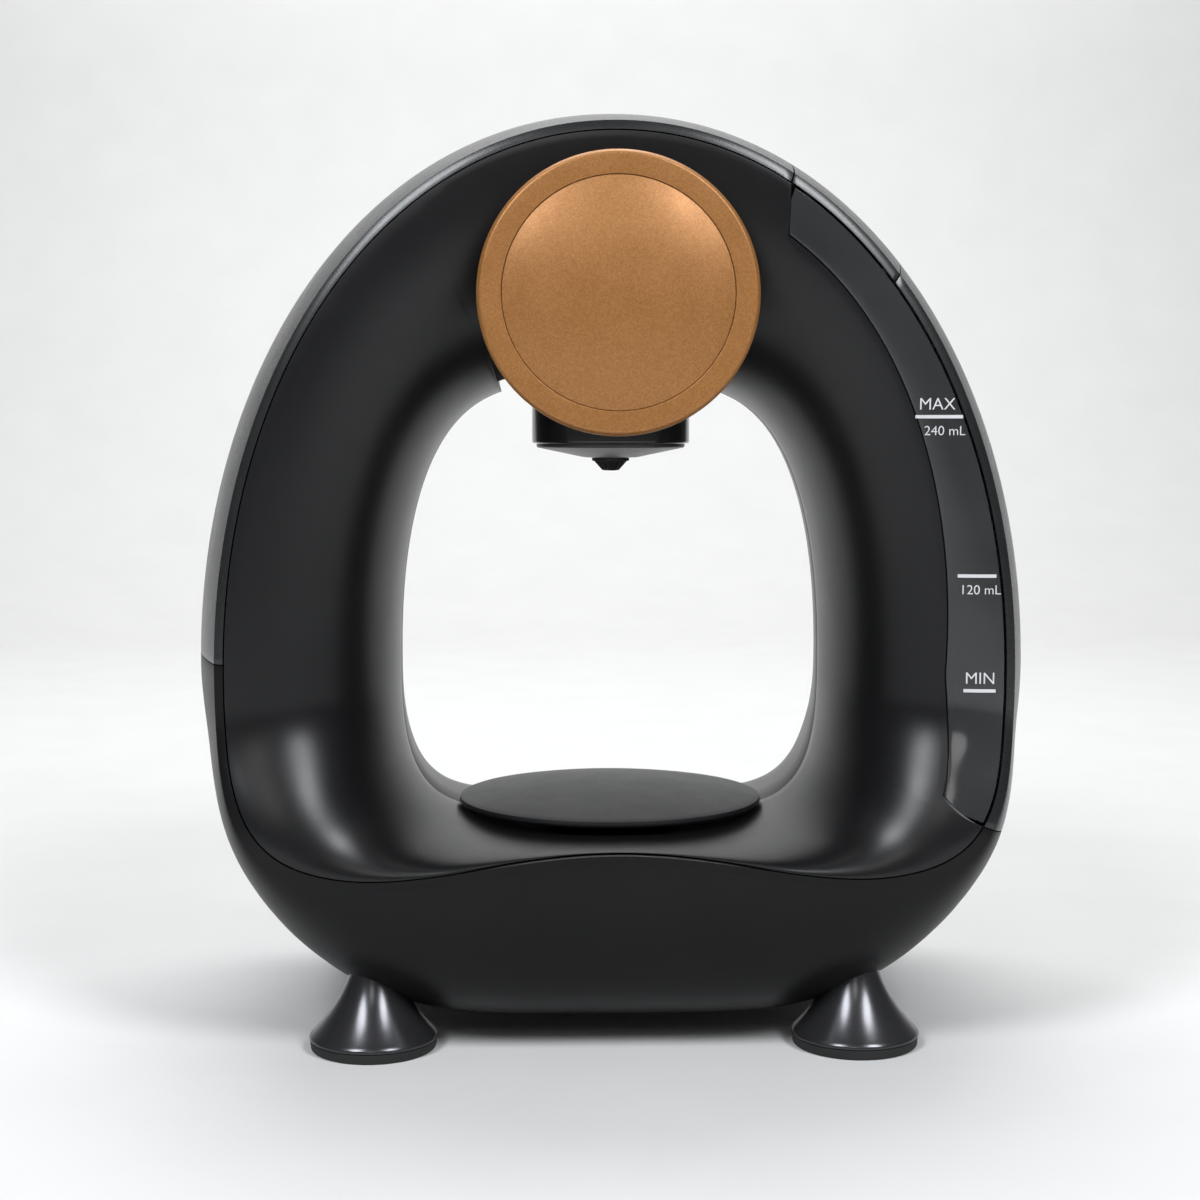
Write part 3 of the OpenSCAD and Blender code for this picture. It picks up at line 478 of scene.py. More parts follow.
# the same grid one thickness further in; its two lips move straight along Y
def inward(grid, thickness):
    rows, cols = len(grid), len(grid[0])
    ends = {0: Vector((0, 1, 0)), cols - 1: Vector((0, -1, 0))}
    made = []
    for i in range(rows):
        row = []
        for j in range(cols):
            u = grid[min(rows - 1, i + 1)][j] - grid[max(0, i - 1)][j]
            v = grid[i][min(cols - 1, j + 1)] - grid[i][max(0, j - 1)]
            row.append(grid[i][j] + (ends.get(j) or u.cross(v).normalized()) * thickness)
        made.append(row)
    return made


# outer and inner rows of a face; turn and nudge are the steps that give its slope
def faceRows(face, rows, thickness, turn=0.3, nudge=0.01):
    outer, inner = [], []
    for t, shares in rows:
        outer.append([face(t, k) for k in shares])
        line = []
        for k in shares:
            u = face(t + turn, k) - face(t - turn, k)
            v = face(t, min(1, k + nudge)) - face(t, max(0, k - nudge))
            n = Vector((0, -1, 0)) if k == shares[0] else u.cross(v).normalized()
            line.append(face(t, k) + n * thickness)
        inner.append(line)
    return outer, inner


# shares that crowd where a face turns into the hole
def turnShares(start, end, count, crowd=1.15):
    a, b = math.asin(start ** crowd), math.asin(end ** crowd)
    return [start] + [math.sin(k) ** (1 / crowd) for k in steps(a, b, count)[1:]]


# angles in order, without those that nearly meet
def tidyAngles(*lists, nearest=0.04):
    found = sorted({round(t, 3) for part in lists for t in part})
    return [t for i, t in enumerate(found) if i == 0 or t - found[i - 1] > nearest]


def slotSteps(half):
    run = slotSize["run"]
    return steps(90 - half - run, 90 - half + run, 6) + steps(90 + half - run, 90 + half + run, 6)


panelSize = {"turns": 26, "edge": 0.3, "windowEnd": (0, 0.05, 0.15, 0.35, 0.7, 1.2, 1.7, 2.2)}


def makePanel(name, node, face, rows, thickness):
    piece = wallObject(name, *faceRows(face, rows, thickness), True, "panelBlack")
    roundEdges(piece, panelSize["edge"], angle=45)
    place(piece, "body", "panel", node, smooth=50)


# angles crowd at the ends of the window and at the corners of the slot
def makeFrontPanel():
    low, high = tankSize["low"], tankSize["high"]
    top = high - windowSize["cutHigh"]
    angles = tidyAngles([low + t for t in panelSize["windowEnd"]], steps(low + 3, 64, 68),
                        slotSteps(slotSize["wideHalf"]), steps(66, top, 3), steps(top, high, 6),
                        slotSteps(slotSize["half"]), steps(71.5, 108.5, 30), steps(110, 114, 4),
                        steps(116, 337.2, 200))
    rows = []
    for t in angles:
        end = stopShare(sideDepth(seamLine(t).y, -1), body["round"])
        last = slotEnd(t, slotSize["share"], slotSize["wideShare"], end)
        rows.append((t, turnShares(tankShare(t), last, panelSize["turns"])))
    makePanel("frontPanel", "front_panel", frontPoint, rows, -body["wall"])


def makeRearPanel():
    angles = tidyAngles(steps(0, 64, 58), slotSteps(slotSize["wideHalf"]), steps(66, 114, 40),
                        steps(116, 359, 220))
    rows = []
    for t in angles:
        end = stopShare(sideDepth(rearLine(t).y, 1), rearPower(t))
        last = slotEnd(t, slotSize["wideShare"], slotSize["wideShare"], end)
        rows.append((t, turnShares(0, last, panelSize["turns"])))
    makePanel("rearPanel", "rear_panel", rearPoint, rows, body["wall"])


bandSize = {"steps": 20, "edge": 0.35, "upperRows": 110, "sideRows": 76, "lowerRows": 170, "lidRows": 30}
jointGap = body["seamGap"] / body["halfWidth"] * 90 / math.pi  # half a seam gap, in degrees


def bandSection(t):
    ks = [90 * easeIn(u) for u in steps(0, 1, bandSize["steps"])]
    return ([lipPoint(t, -1)] + [bandPoint(t, k, -1) for k in ks] + [bandPoint(t, k, 1) for k in ks[-2::-1]]
            + [lipPoint(t, 1)])


# length of band between two joints
def bandObject(name, start, end, rows, look="bandSatin"):
    grid = [bandSection(t) for t in steps(start + jointGap, end - jointGap, rows)]
    return wallObject(name, grid, inward(grid, body["wall"]), False, look)


# round tool for boring and joining
def cylinder(name, radius, start, end, sides=64):
    turn = (end - start).to_track_quat("Z", "Y").to_matrix()
    angles = [360 * i / sides for i in range(sides)]
    ring = [turn @ Vector((radius * cosd(a), radius * sind(a), 0)) for a in angles]
    return loft(name, [[level + spot for spot in ring] for level in (start, end)], "frameGrey")


def post(name, radius, low, high, y=0.0, sides=64):
    return cylinder(name, radius, Vector((0, y, low)), Vector((0, y, high)), sides)


buttonSize = {"radius": 6.0, "bezel": 8.2, "depth": 4.0, "bore": (262.0, 290.0), "flange": 1.2, "root": 2.2,
              "gap": 0.3, "proud": 0.8, "dish": 0.45}


def makeBands():
    upper = bandObject("upperBand", tankSize["high"], body["leftJoint"], bandSize["upperRows"])
    carve(upper, post("boreTool", buttonSize["bezel"] + fitGap, *buttonSize["bore"]))
    side = bandObject("sideBand", tankSize["low"], tankSize["lidLow"], bandSize["sideRows"])
    lower = bandObject("lowerShell", body["leftJoint"], body["rightJoint"], bandSize["lowerRows"],
                       "apronBlack")
    for piece, node in ((upper, "upper_band"), (side, "side_band"), (lower, "lower_shell")):
        roundEdges(piece, bandSize["edge"], angle=30)
        place(piece, "body", "band", node, smooth=50)


makeFrontPanel()
makeRearPanel()
makeBands()
print("case made")


# turned pieces: profile of (radius, height) round an axis
def lathe(name, profile, look, base=(0, 0, 0), axis=(0, 0, 1), sides=128):
    turn = Vector(axis).to_track_quat("Z", "Y").to_matrix()
    base = Vector(base)
    closed = profile[0][0] > 0
    rings, points, faces = [], [], []
    for r, h in profile:
        if r <= 0:
            rings.append([len(points)])
            points.append(base + turn @ Vector((0, 0, h)))
        else:
            rings.append(list(range(len(points), len(points) + sides)))
            points += [base + turn @ Vector((r * cosd(360 * i / sides), r * sind(360 * i / sides), h))
                       for i in range(sides)]
    pairs = list(zip(rings, rings[1:])) + ([(rings[-1], rings[0])] if closed else [])
    for a, b in pairs:
        for i in range(sides):
            n = (i + 1) % sides
            if len(a) == 1 and len(b) > 1:
                faces.append((a[0], b[n], b[i]))
            elif len(b) == 1 and len(a) > 1:
                faces.append((a[i], a[n], b[0]))
            elif len(a) > 1:
                faces.append((a[i], a[n], b[n], b[i]))
    return newObject(name, points, faces, look)


# rounds the corners of a profile, radius by corner
def filletProfile(corners, count=5, most=0.48):
    made = []
    for i, corner in enumerate(corners):
        p = Vector(corner[:2])
        radius = corner[2] if len(corner) > 2 else 0
        if radius <= 0 or i in (0, len(corners) - 1):
            made.append(tuple(p))
            continue
        a, b = Vector(corners[i - 1][:2]) - p, Vector(corners[i + 1][:2]) - p
        reach = min(radius, a.length * most, b.length * most)
        start, end = p + a.normalized() * reach, p + b.normalized() * reach
        for u in steps(0, 1, count):
            made.append(tuple(start * (1 - u) ** 2 + p * 2 * u * (1 - u) + end * u * u))
    return made


# box between two corners, in millimetres
def block(name, low, high, look, frameOf=None):
    points = [Vector(corner) for corner in product(*zip(low, high))]
    if frameOf:
        points = [frameOf @ p for p in points]
    faces = [(0, 1, 3, 2), (4, 6, 7, 5), (0, 4, 5, 1), (2, 3, 7, 6), (0, 2, 6, 4), (1, 5, 7, 3)]
    return newObject(name, points, faces, look)


# node group: one copy of a unit at each point of the host, turned about Z by the point's "turn"
def copyTree():
    tree = bpy.data.node_groups.new("copiesAtPoints", "GeometryNodeTree")
    for name, way, kind in (("Points", "INPUT", "Geometry"), ("Unit", "INPUT", "Object"),
                            ("Finish", "INPUT", "Material"), ("Copies", "OUTPUT", "Geometry")):
        tree.interface.new_socket(name, in_out=way, socket_type="NodeSocket" + kind)
    start, end = tree.nodes.new("NodeGroupInput"), tree.nodes.new("NodeGroupOutput")
    turn = addNode(tree, "GeometryNodeInputNamedAttribute", {"Name": "turn"}, data_type="FLOAT")
    angle = addNode(tree, "ShaderNodeCombineXYZ")
    unit = addNode(tree, "GeometryNodeObjectInfo")
    copied = addNode(tree, "GeometryNodeInstanceOnPoints")
    real = addNode(tree, "GeometryNodeRealizeInstances")
    painted = addNode(tree, "GeometryNodeSetMaterial")
    links = (
        (start, "Points", copied, "Points"), (start, "Unit", unit, "Object"),
        (unit, "Geometry", copied, "Instance"), (turn, "Attribute", angle, "Z"),
        (angle, "Vector", copied, "Rotation"), (copied, "Instances", real, "Geometry"),
        (real, "Geometry", painted, "Geometry"), (start, "Finish", painted, "Material"),
        (painted, "Geometry", end, "Copies"))
    for source, outlet, target, inlet in links:
        tree.links.new(source.outputs[outlet], target.inputs[inlet])
    return tree


copyGroup = copyTree()


def copies(name, unit, spots, look, turns=()):
    mesh = bpy.data.meshes.new(name)
    mesh.from_pydata([tuple(c * mm for c in p) for p in spots], [], [])
    turn = mesh.attributes.new("turn", "FLOAT", "POINT")
    for i, angle in enumerate(turns):
        turn.data[i].value = angle
    piece = addObject(name, mesh)
    modifier = piece.modifiers.new("copies", "NODES")
    modifier.node_group = copyGroup
    inputs = {item.name: item.identifier for item in copyGroup.interface.items_tree if item.in_out == "INPUT"}
    modifier[inputs["Unit"]] = unit
    modifier[inputs["Finish"]] = finish[look]
    bakeModifiers(piece)
    dropObject(unit)
    return piece


discSize = {"radius": 39.0, "back": -63.0, "height": 217.1, "thick": 7.0, "web": 4.0, "dome": 31.98,
            "rise": 4.5, "groove": 0.14, "sunk": 0.35, "crown": 2.2}


def makeDisc():
    size = discSize
    base = (0, size["back"], size["height"])
    radius, dome, thick, web = size["radius"], size["dome"], size["thick"], size["web"]
    groove = dome + size["groove"]
    ring = filletProfile([
        (0, 0), (radius - 0.2, 0, 1.6), (radius, thick - 1.3, 0.5), (radius - 1.0, thick, 0.5),
        (dome + 0.3, thick, 0.1), (groove, thick - 0.2, 0.1), (groove, web), (0, web)])
    curve = [(dome * k, thick - size["sunk"] + (size["rise"] + size["sunk"]) * (1 - k ** size["crown"]))
             for k in steps(0.999, 0, 30)]
    cap = [(0, web + fitGap), (dome, web + fitGap)] + curve
    for name, profile, node in (("brewDisc", ring, "brew_disc"), ("discDome", cap, "disc_dome")):
        piece = lathe(name, profile, "copperPaint", base, axis=(0, -1, 0), sides=192)
        place(piece, "drawer", "copper_paint", node)


headSize = {"y": -5.0, "radius": 24.1, "wall": 2.0, "low": 175.9, "runnerLow": 197.3, "runnerHigh": 200.3,
            "high": 220.1, "upper": 25.5, "runner": 27.3, "runnerEdge": 0.5, "floor": 2.5, "seat": (0.5, 1.2),
            "drain": 3.2, "coneRim": 1.4, "coneLow": 171.6, "coneFoot": 8.0}


def makeHolder():
    size, gloss = headSize, "glossBlack"
    y, radius, low, high = size["y"], size["radius"], size["low"], size["high"]
    shelf, roof = size["runnerLow"] + 1, size["runnerHigh"] - 1
    cup = filletProfile([(0, low), (radius, low, 0.7), (radius, shelf), (0, shelf)])
    holder = lathe("podHolder", cup, gloss, (0, y, 0))
    runner = block("runnerTool", (-size["runner"], y - size["runner"], size["runnerLow"]),
                   (size["runner"], y + size["runner"], size["runnerHigh"]), gloss)
    roundEdges(runner, size["runnerEdge"], segments=3)
    carve(holder, runner, "UNION")
    collar = filletProfile([(0, roof), (size["upper"], roof), (size["upper"], high, 0.5), (0, high)])
    carve(holder, lathe("upperTool", collar, gloss, (0, y, 0)), "UNION")
    wider, seat = size["seat"]
    bores = ((radius - size["wall"], low + size["floor"], high + 40),
             (radius + wider, high - seat, high + 40), (size["drain"], low - 1, low + 14))
    for bore, start, end in bores:
        carve(holder, post("boreTool", bore, start, end, y, sides=96))
    place(holder, "drawer", "rail", "pod_holder", smooth=35)


def makeCone():
    size = headSize
    drain, low, seat = size["drain"], size["coneLow"], size["low"] - fitGap
    rim = size["radius"] - size["coneRim"]
    bowl = filletProfile([
        (drain, low), (size["coneFoot"], low, 0.6), (rim, size["low"] - 1.2, 0.5), (rim, seat),
        (drain, seat)])
    cone = lathe("dripCone", bowl, "coneGrey", (0, size["y"], 0))
    place(cone, "drawer", "cone", "drip_cone")


nozzleSize = {"low": 167.6, "bore": 1.0, "tip": 1.8, "neck": 4.0, "flange": 5.7, "ribs": 14, "ribNear": 1.2,
              "ribFar": 2.5, "ribHalf": 0.28, "ribFlare": 2.7, "ribEdge": 0.15}


# ribs lean out with the spout
def makeNozzle():
    size, rubber, base = nozzleSize, "rubberBlack", (0, headSize["y"], 0)
    tip, top, bore, flange = size["low"], headSize["coneLow"] - fitGap, size["bore"], size["flange"]
    spout = filletProfile([
        (bore, tip), (size["tip"], tip, 0.2), (size["neck"], top - 1.0, 0.3), (flange, top - 0.9, 0.2),
        (flange, top), (bore, top)])
    core = lathe("nozzleCore", spout, rubber, base, sides=72)
    place(core, "drawer", "rail", "drip_nozzle")
    fin = block("finTool", (size["ribNear"], -size["ribHalf"], tip + 0.1),
                (size["ribFar"], size["ribHalf"], top - 0.8), rubber)
    for corner in fin.data.vertices:
        if corner.co.z > (top - 1) * mm:
            corner.co.x += size["ribFlare"] * mm
    roundEdges(fin, size["ribEdge"])
    turns = [2 * math.pi * i / size["ribs"] for i in range(size["ribs"])]
    ribs = copies("nozzleRibs", fin, [base] * size["ribs"], rubber, turns)
    place(ribs, "drawer", "rail")


railSize = {"inner": 27.6, "outer": 30.0, "shelf": 24.8, "lip": 1.6, "low": 192.6, "top": 202.48,
            "front": -33.3, "rear": 24.3, "edge": 0.25, "glide": 5.0, "glideInset": 1.5, "glideEdge": 0.4,
            "gap": 0.3}


# each rail is a wall with a shelf under the runner and a lip over it
def makeRails():
    size, head = railSize, headSize
    inner, start, low, top = size["inner"], size["front"] + size["glide"], size["low"], size["top"]
    shelfTop, lipLow = head["runnerLow"] - size["gap"], head["runnerHigh"] + size["gap"]
    bars = ((inner, size["outer"], low, top), (size["shelf"], inner + 0.5, low, shelfTop),
            (inner - size["lip"], inner + 0.5, lipLow, top))
    for name, side in (("Left", -1), ("Right", 1)):
        rail = None
        for near, far, barLow, barTop in bars:
            xs = sorted((side * near, side * far))
            bar = block("rail" + name, (xs[0], start, barLow), (xs[1], size["rear"], barTop), "apronBlack")
            if rail:
                carve(rail, bar, "UNION")
            else:
                rail = bar
        roundEdges(rail, size["edge"])
        place(rail, "body", "rail", *(["drawer_rails"] if side < 0 else []), smooth=35)
        xs = sorted((side * size["shelf"], side * (size["outer"] - size["glideInset"])))
        glide = block("glide" + name, (xs[0], size["front"], low + 1), (xs[1], start - fitGap, shelfTop),
                      "nylonWhite")
        roundEdges(glide, size["glideEdge"], segments=3)
        place(glide, "body", "nylon", *(["rail_glides"] if side < 0 else []), smooth=35)


plateSize = {"radius": 47.0, "low": 64.2, "top": 66.4, "dome": 4.7, "foot": 20.5, "footLow": 62.95,
             "groove": (15.4, 18.52, 0.6)}


def makePlate():
    size = plateSize
    radius, low, top, footLow = size["radius"], size["low"], size["top"], size["footLow"]
    near, far, deep = size["groove"]
    under = filletProfile([
        (0, footLow), (near, footLow), (near, footLow + deep), (far, footLow + deep), (far, footLow),
        (size["foot"], footLow, 0.4), (size["foot"], low, 0.6), (radius - 0.9, low, 0.9),
        (radius, low + 1.0, 0.6), (radius - 0.3, top - 0.1)])
    curve = [(radius * k, top + size["dome"] * (1 - k * k)) for k in steps(0.975, 0, 30)]
    plate = lathe("cupPlate", under + curve, "plateSatin", sides=160)
    place(plate, "plate", "plate", "cup_plate")


footSize = {"x": 70.7, "y": 45.0, "radius": 18.7, "neck": 6.0, "pad": 3.0, "rise": 24.0, "seat": 2.88,
            "rim": 0.9, "sweep": 1.85, "top": 34.0}


def makeFeet():
    size = footSize
    radius, neck, low, seat = size["radius"], size["neck"], size["pad"], size["seat"]
    horn = [(neck + (radius - neck) * (1 - u) ** size["sweep"], low + size["rim"] + size["rise"] * u)
            for u in steps(0.012, 1, 36)]
    trumpet = [(0, low), (radius - 0.5, low), (radius - 0.1, low + 0.2), (radius, low + 0.6)] + horn
    trumpet += [(neck, size["top"]), (0, size["top"])]
    disc = filletProfile([(0, 0), (radius - 0.4, 0, 0.9), (radius - 0.3, seat, 0.3), (0, seat)])
    for row, y in (("front", -size["y"]), ("rear", size["y"])):
        for name, x in (("left", -size["x"]), ("right", size["x"])):
            corner = row.title() + name.title()
            foot = lathe("foot" + corner, trumpet, "footGunmetal", (x, y, 0), sides=96)
            place(foot, "body", "foot", "foot_%s_%s" % (row, name))
            pad = lathe("pad" + corner, disc, "rubberBlack", (x, y, 0), sides=96)
            place(pad, "body", "rubber", "pad_%s_%s" % (row, name))


makeDisc()
makeHolder()
makeCone()
makeNozzle()
makeRails()
makePlate()
makeFeet()
print("turned pieces made")


# cross-section of the tank at angle t, moved in by inset, its outer side let out by spill
def tankLoop(t, inset=0.0, spill=0.0, across=14):
    s, h = seamLine(t), holeLine(t)
    width = (h - s).length
    i, g = inset / width, body["seamGap"] / width
    k, side = tankShare(t) - g - i, g + i - spill / width
    size, arch = tankSize, body["archDepth"]
    back, deep = arch - size["rearInset"] - inset, size["depth"] - i

    def spot(share, y):
        return Vector((s.x + (h.x - s.x) * share, y, s.y + (h.y - s.y) * share))

    def front(share):
        return frontPoint(t, max(0, share)).y + inset

    return [spot(j, front(j)) for j in steps(k, side, across)] + [
        spot(side, back), spot(size["corner"], back), spot(deep, back - size["chamfer"]),
        spot(deep, -arch + size["frontInset"] + inset), spot(max(k, 0.1), front(k) + size["lead"])]


mouthSize = {"low": 3.0, "high": 4.0, "spill": 5.0}
portSize = {"radius": 4.0, "turn": 0.5, "reach": 12.0}


def makeTank():
    low, high, smoke = tankSize["low"], tankSize["high"], "tankSmoke"
    mouthLow, mouthHigh = tankSize["lidLow"] + mouthSize["low"], high - mouthSize["high"]
    outside = [low + t for t in (0.5, 0.8, 1.1, 1.4, 1.8, 2.2)] + steps(low + 3, high - 1.9, 84)
    outside += [high - t for t in (1.5, 1.2, 0.9, 0.6)]
    tank = loft("tank", [tankLoop(t) for t in outside], smoke)
    roundEdges(tank, tankSize["edge"], segments=3, angle=40)
    inside = steps(low + 2.4, mouthLow, 56) + [mouthLow + 0.6]
    inside += steps(mouthLow + 1.6, mouthHigh - 0.6, 10) + [mouthHigh]
    spills = [mouthSize["spill"] if mouthLow < t < mouthHigh else 0.0 for t in inside]
    hollow = [tankLoop(t, tankSize["wall"], spill) for t, spill in zip(inside, spills)]
    carve(tank, loft("hollowTool", hollow, smoke))
    angle, middle = low + portSize["turn"], Vector((0, body["waist"]))
    radius = ((seamLine(angle) - middle).length + (holeLine(angle) - middle).length) / 2
    ray = Vector((cosd(angle), 0, sind(angle)))
    across = Vector((-ray.z, 0, ray.x)) * portSize["reach"]
    port = Vector((0, 0, body["waist"])) + ray * radius
    carve(tank, cylinder("portTool", portSize["radius"] + fitGap, port - across, port + across, sides=48))
    place(tank, "body", "tank", "tank", smooth=30)


hingeSize = {"pin": 1.0, "pinReach": 30.0, "barrel": 2.3, "knuckle": 18.0, "gap": 0.3, "clear": 0.4,
             "sunk": 0.4, "reach": 40.0, "cutLow": (-40, -8, -0.5), "cutHigh": (40, 12, 19.5)}


# frame of the lid's hinge: x along the pin, z into the body
def hingeFrame():
    low, high = rearLine(tankSize["lidLow"], body["lip"]), rearLine(tankSize["high"], body["lip"])
    along = Vector((high.x - low.x, 0, high.y - low.y)).normalized()
    middle = rearLine((tankSize["lidLow"] + tankSize["high"]) / 2, body["lip"])
    into = along.cross(Vector((0, 1, 0)))
    turn = Matrix((along, (0, 1, 0), into)).transposed().to_4x4()
    rear = body["archDepth"] - body["lipDrop"] - hingeSize["sunk"]
    return Matrix.Translation((middle.x, rear, middle.y)) @ turn


def barrel(name, radius, start, end):
    at = hingeFrame()
    return cylinder(name, radius, at @ Vector((start, 0, 0)), at @ Vector((end, 0, 0)), sides=48)


def makeLid():
    size = hingeSize
    half, reach, pinReach = size["knuckle"] / 2, size["reach"], size["pinReach"]
    lid = bandObject("tankLid", tankSize["lidLow"], tankSize["high"], bandSize["lidRows"])
    roundEdges(lid, bandSize["edge"], angle=30)
    carve(lid, block("hingeTool", size["cutLow"], size["cutHigh"], "bandSatin", hingeFrame()))
    carve(lid, barrel("barrelTool", size["barrel"], -half, half), "UNION")
    carve(lid, barrel("pinTool", size["pin"] + size["gap"] / 2, -pinReach, pinReach))
    for start, end in ((half, reach), (-reach, -half)):
        carve(lid, barrel("clearTool", size["barrel"] + size["clear"], start, end))
    place(lid, "lid", "band", "tank_lid", smooth=35)


# letters is the height of a capital, and fontScale the font's own size for it
markSize = {"proud": 0.06, "thick": 0.12, "letters": 3.5, "fontScale": 1.36, "thin": 0.025, "line": 0.95}
marks = {
    "Max": {"words": "MAX", "at": (85.0, 185.6), "line": (84.2, 97.4, 183.6)},
    "Full": {"words": "240 mL", "at": (86.6, 178.4), "size": 0.8},
    "Half": {"words": "120 mL", "at": (97.4, 133.4), "size": 0.8, "line": (96.8, 107.6, 138.6)},
    "Min": {"words": "MIN", "at": (99.2, 107.8), "line": (98.9, 107.9, 105.8)},
}


# depth of the window's face behind a point of the front view
def windowDepth(x, z):
    t = math.degrees(math.atan2(z - body["waist"], x))
    s, h = seamLine(t), holeLine(t)
    share = (s - Vector((x, z))).length / (h - s).length
    return frontPoint(t, share).y


def printOn(piece):
    for corner in piece.data.vertices:
        x, z, lift = corner.co.x / mm, corner.co.z / mm, corner.co.y / mm
        corner.co.y = (windowDepth(x, z) - markSize["proud"] + lift) * mm


def makeWords(name, mark):
    text = bpy.data.curves.new("text", "FONT")
    text.body = mark["words"]
    text.size = markSize["letters"] * markSize["fontScale"] * mark.get("size", 1.0) * mm
    text.extrude = markSize["thick"] / 2 * mm
    text.offset = -markSize["thin"] * mm
    holder = addObject("text", text)
    holder.location = (mark["at"][0] * mm, 0, mark["at"][1] * mm)
    holder.rotation_euler = (math.pi / 2, 0, 0)
    bpy.context.view_layer.update()
    graph = bpy.context.evaluated_depsgraph_get()
    mesh = bpy.data.meshes.new_from_object(holder.evaluated_get(graph))
    mesh.transform(holder.matrix_world)
    mesh.name = name
    mesh.materials.clear()
    mesh.materials.append(finish["printWhite"])
    bpy.data.objects.remove(holder)
    bpy.data.curves.remove(text)
    return addObject(name, mesh)


# line beside the words, in short steps so that it follows the window
def makeTick(name, left, right, height):
    thick, tall = markSize["thick"] / 2, markSize["line"] / 2
    low, high = height - tall, height + tall
    section = ((-thick, low), (-thick, high), (thick, high), (thick, low))
    loops = [[(x, y, z) for y, z in section] for x in steps(left, right, 16)]
    return loft(name, loops, "printWhite")


def makeMarks():
    for name, mark in marks.items():
        pieces = [makeWords("mark" + name, mark)]
        if "line" in mark:
            pieces.append(makeTick("tick" + name, *mark["line"]))
        for piece in pieces:
            printOn(piece)
            place(piece, "body", "tank", smooth=0)


makeTank()
makeLid()
makeMarks()
print("tank and lid made")


def makeButton():
    size, top = buttonSize, body["top"]
    radius, wide, proud = size["radius"], size["radius"] + size["flange"], top + size["proud"]
    root = top - size["depth"] - size["gap"]
    low = root - size["root"]
    cap = filletProfile([
        (0, low), (wide, low, 0.3), (wide, root), (radius, root), (radius, proud, 0.7),
        (radius - 1.6, proud - 0.05, 0.8), (0, top + size["dish"])])
    button = lathe("brewButton", cap, "bandSatin", sides=96)
    bore, outer, floor = radius + size["gap"], size["bezel"], top - size["depth"]
    ring = filletProfile([
        (bore, floor), (outer, floor), (outer, top + 0.1, 0.4), (bore, top + 0.1, 0.4), (bore, top - 1)])
    bezel = lathe("buttonBezel", ring, "glossBlack", sides=96)
    place(button, "button", "button", "brew_button")
    place(bezel, "body", "rail", "button_bezel")


screwSize = {"angles": (38, 142, 196, 344), "share": 0.25, "radius": 3.0, "height": 1.4, "hex": 1.4,
             "socket": 0.8, "seatShare": 0.18, "seatTurn": 2}


# a screw's head clears the highest point of the face beneath it
def makeScrews():
    size, steel = screwSize, "steelDark"
    radius, height = size["radius"], size["height"]
    head = filletProfile([(0, 0), (radius, 0, 0.1), (radius, height, 0.5), (0, height)])
    screw = lathe("screwTool", head, steel, axis=(0, 1, 0), sides=48)
    carve(screw, cylinder("hexTool", size["hex"], Vector((0, height - size["socket"], 0)),
                          Vector((0, height + 1, 0)), sides=6))
    spots = []
    for t in size["angles"]:
        at = rearPoint(t, size["share"])
        high = max(rearPoint(t + turn, size["seatShare"]).y for turn in (-size["seatTurn"], size["seatTurn"]))
        spots.append((at.x, high + fitGap, at.z))
    screws = copies("caseScrews", screw, spots, steel)
    place(screws, "body", "steel", "case_screws", smooth=35)


basketSize = {"low": 181.9, "top": 219.8, "inner": 21.8, "rim": 24.4, "slope": 3.0, "sheet": 0.8,
              "hole": 0.75, "pitch": 3.0, "border": 3.0}


# filter basket, its floor drilled on a triangular grid
def makeBasket():
    size, y, steel = basketSize, headSize["y"], "steelBright"
    low, top, wide, rim, sheet = size["low"], size["top"], size["inner"], size["rim"], size["sheet"]
    foot = wide - size["slope"]
    tub = filletProfile([
        (0, low), (foot, low, 1.2), (wide, top - sheet, 0.3), (rim, top - sheet, 0.2), (rim, top, 0.3),
        (wide - sheet, top, 0.6), (foot - sheet, low + sheet, 0.8), (0, low + sheet)])
    basket = lathe("filterBasket", tub, steel, (0, y, 0), sides=96)
    drill = post("drillTool", size["hole"], low - 1, low + 2, sides=10)
    reach, rowStep = foot - size["border"], size["pitch"] * math.sqrt(3) / 2
    count = int(reach / rowStep)
    spots = []
    for row in range(-count, count + 1):
        for column in range(-count - 1, count + 2):
            spot = Vector(((column + 0.5 * (row % 2)) * size["pitch"], row * rowStep, 0))
            if spot.length < reach:
                spots.append(spot + Vector((0, y, 0)))
    carve(basket, copies("holesTool", drill, spots, steel))
    place(basket, "drawer", "basket", "filter_basket", smooth=35)


inletSize = {"bore": 2.6, "flange": 8.0, "thick": 1.4, "neck": 5.6, "nose": 4.8}


# turned mains entry on the rear face
def makeInlet():
    size = inletSize
    low, high = (Vector(corner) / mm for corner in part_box("power_inlet"))
    length, bore, flange, thick = high.y - low.y, size["bore"], size["flange"], size["thick"]
    profile = filletProfile([
        (bore, 0), (flange, 0, 0.1), (flange, thick, 0.7), (size["neck"], thick + 0.3, 0.5),
        (size["nose"], length, 0.7), (bore, length, 0.5), (bore, 0.5)])
    middle = ((low.x + high.x) / 2, low.y, (low.z + high.z) / 2)
    inlet = lathe("powerInlet", profile, "rubberBlack", middle, axis=(0, 1, 0), sides=72)
    place(inlet, "body", "switch", "power_inlet")


makeButton()
makeScrews()
makeBasket()
makeInlet()
print("button, screws, basket and inlet made")

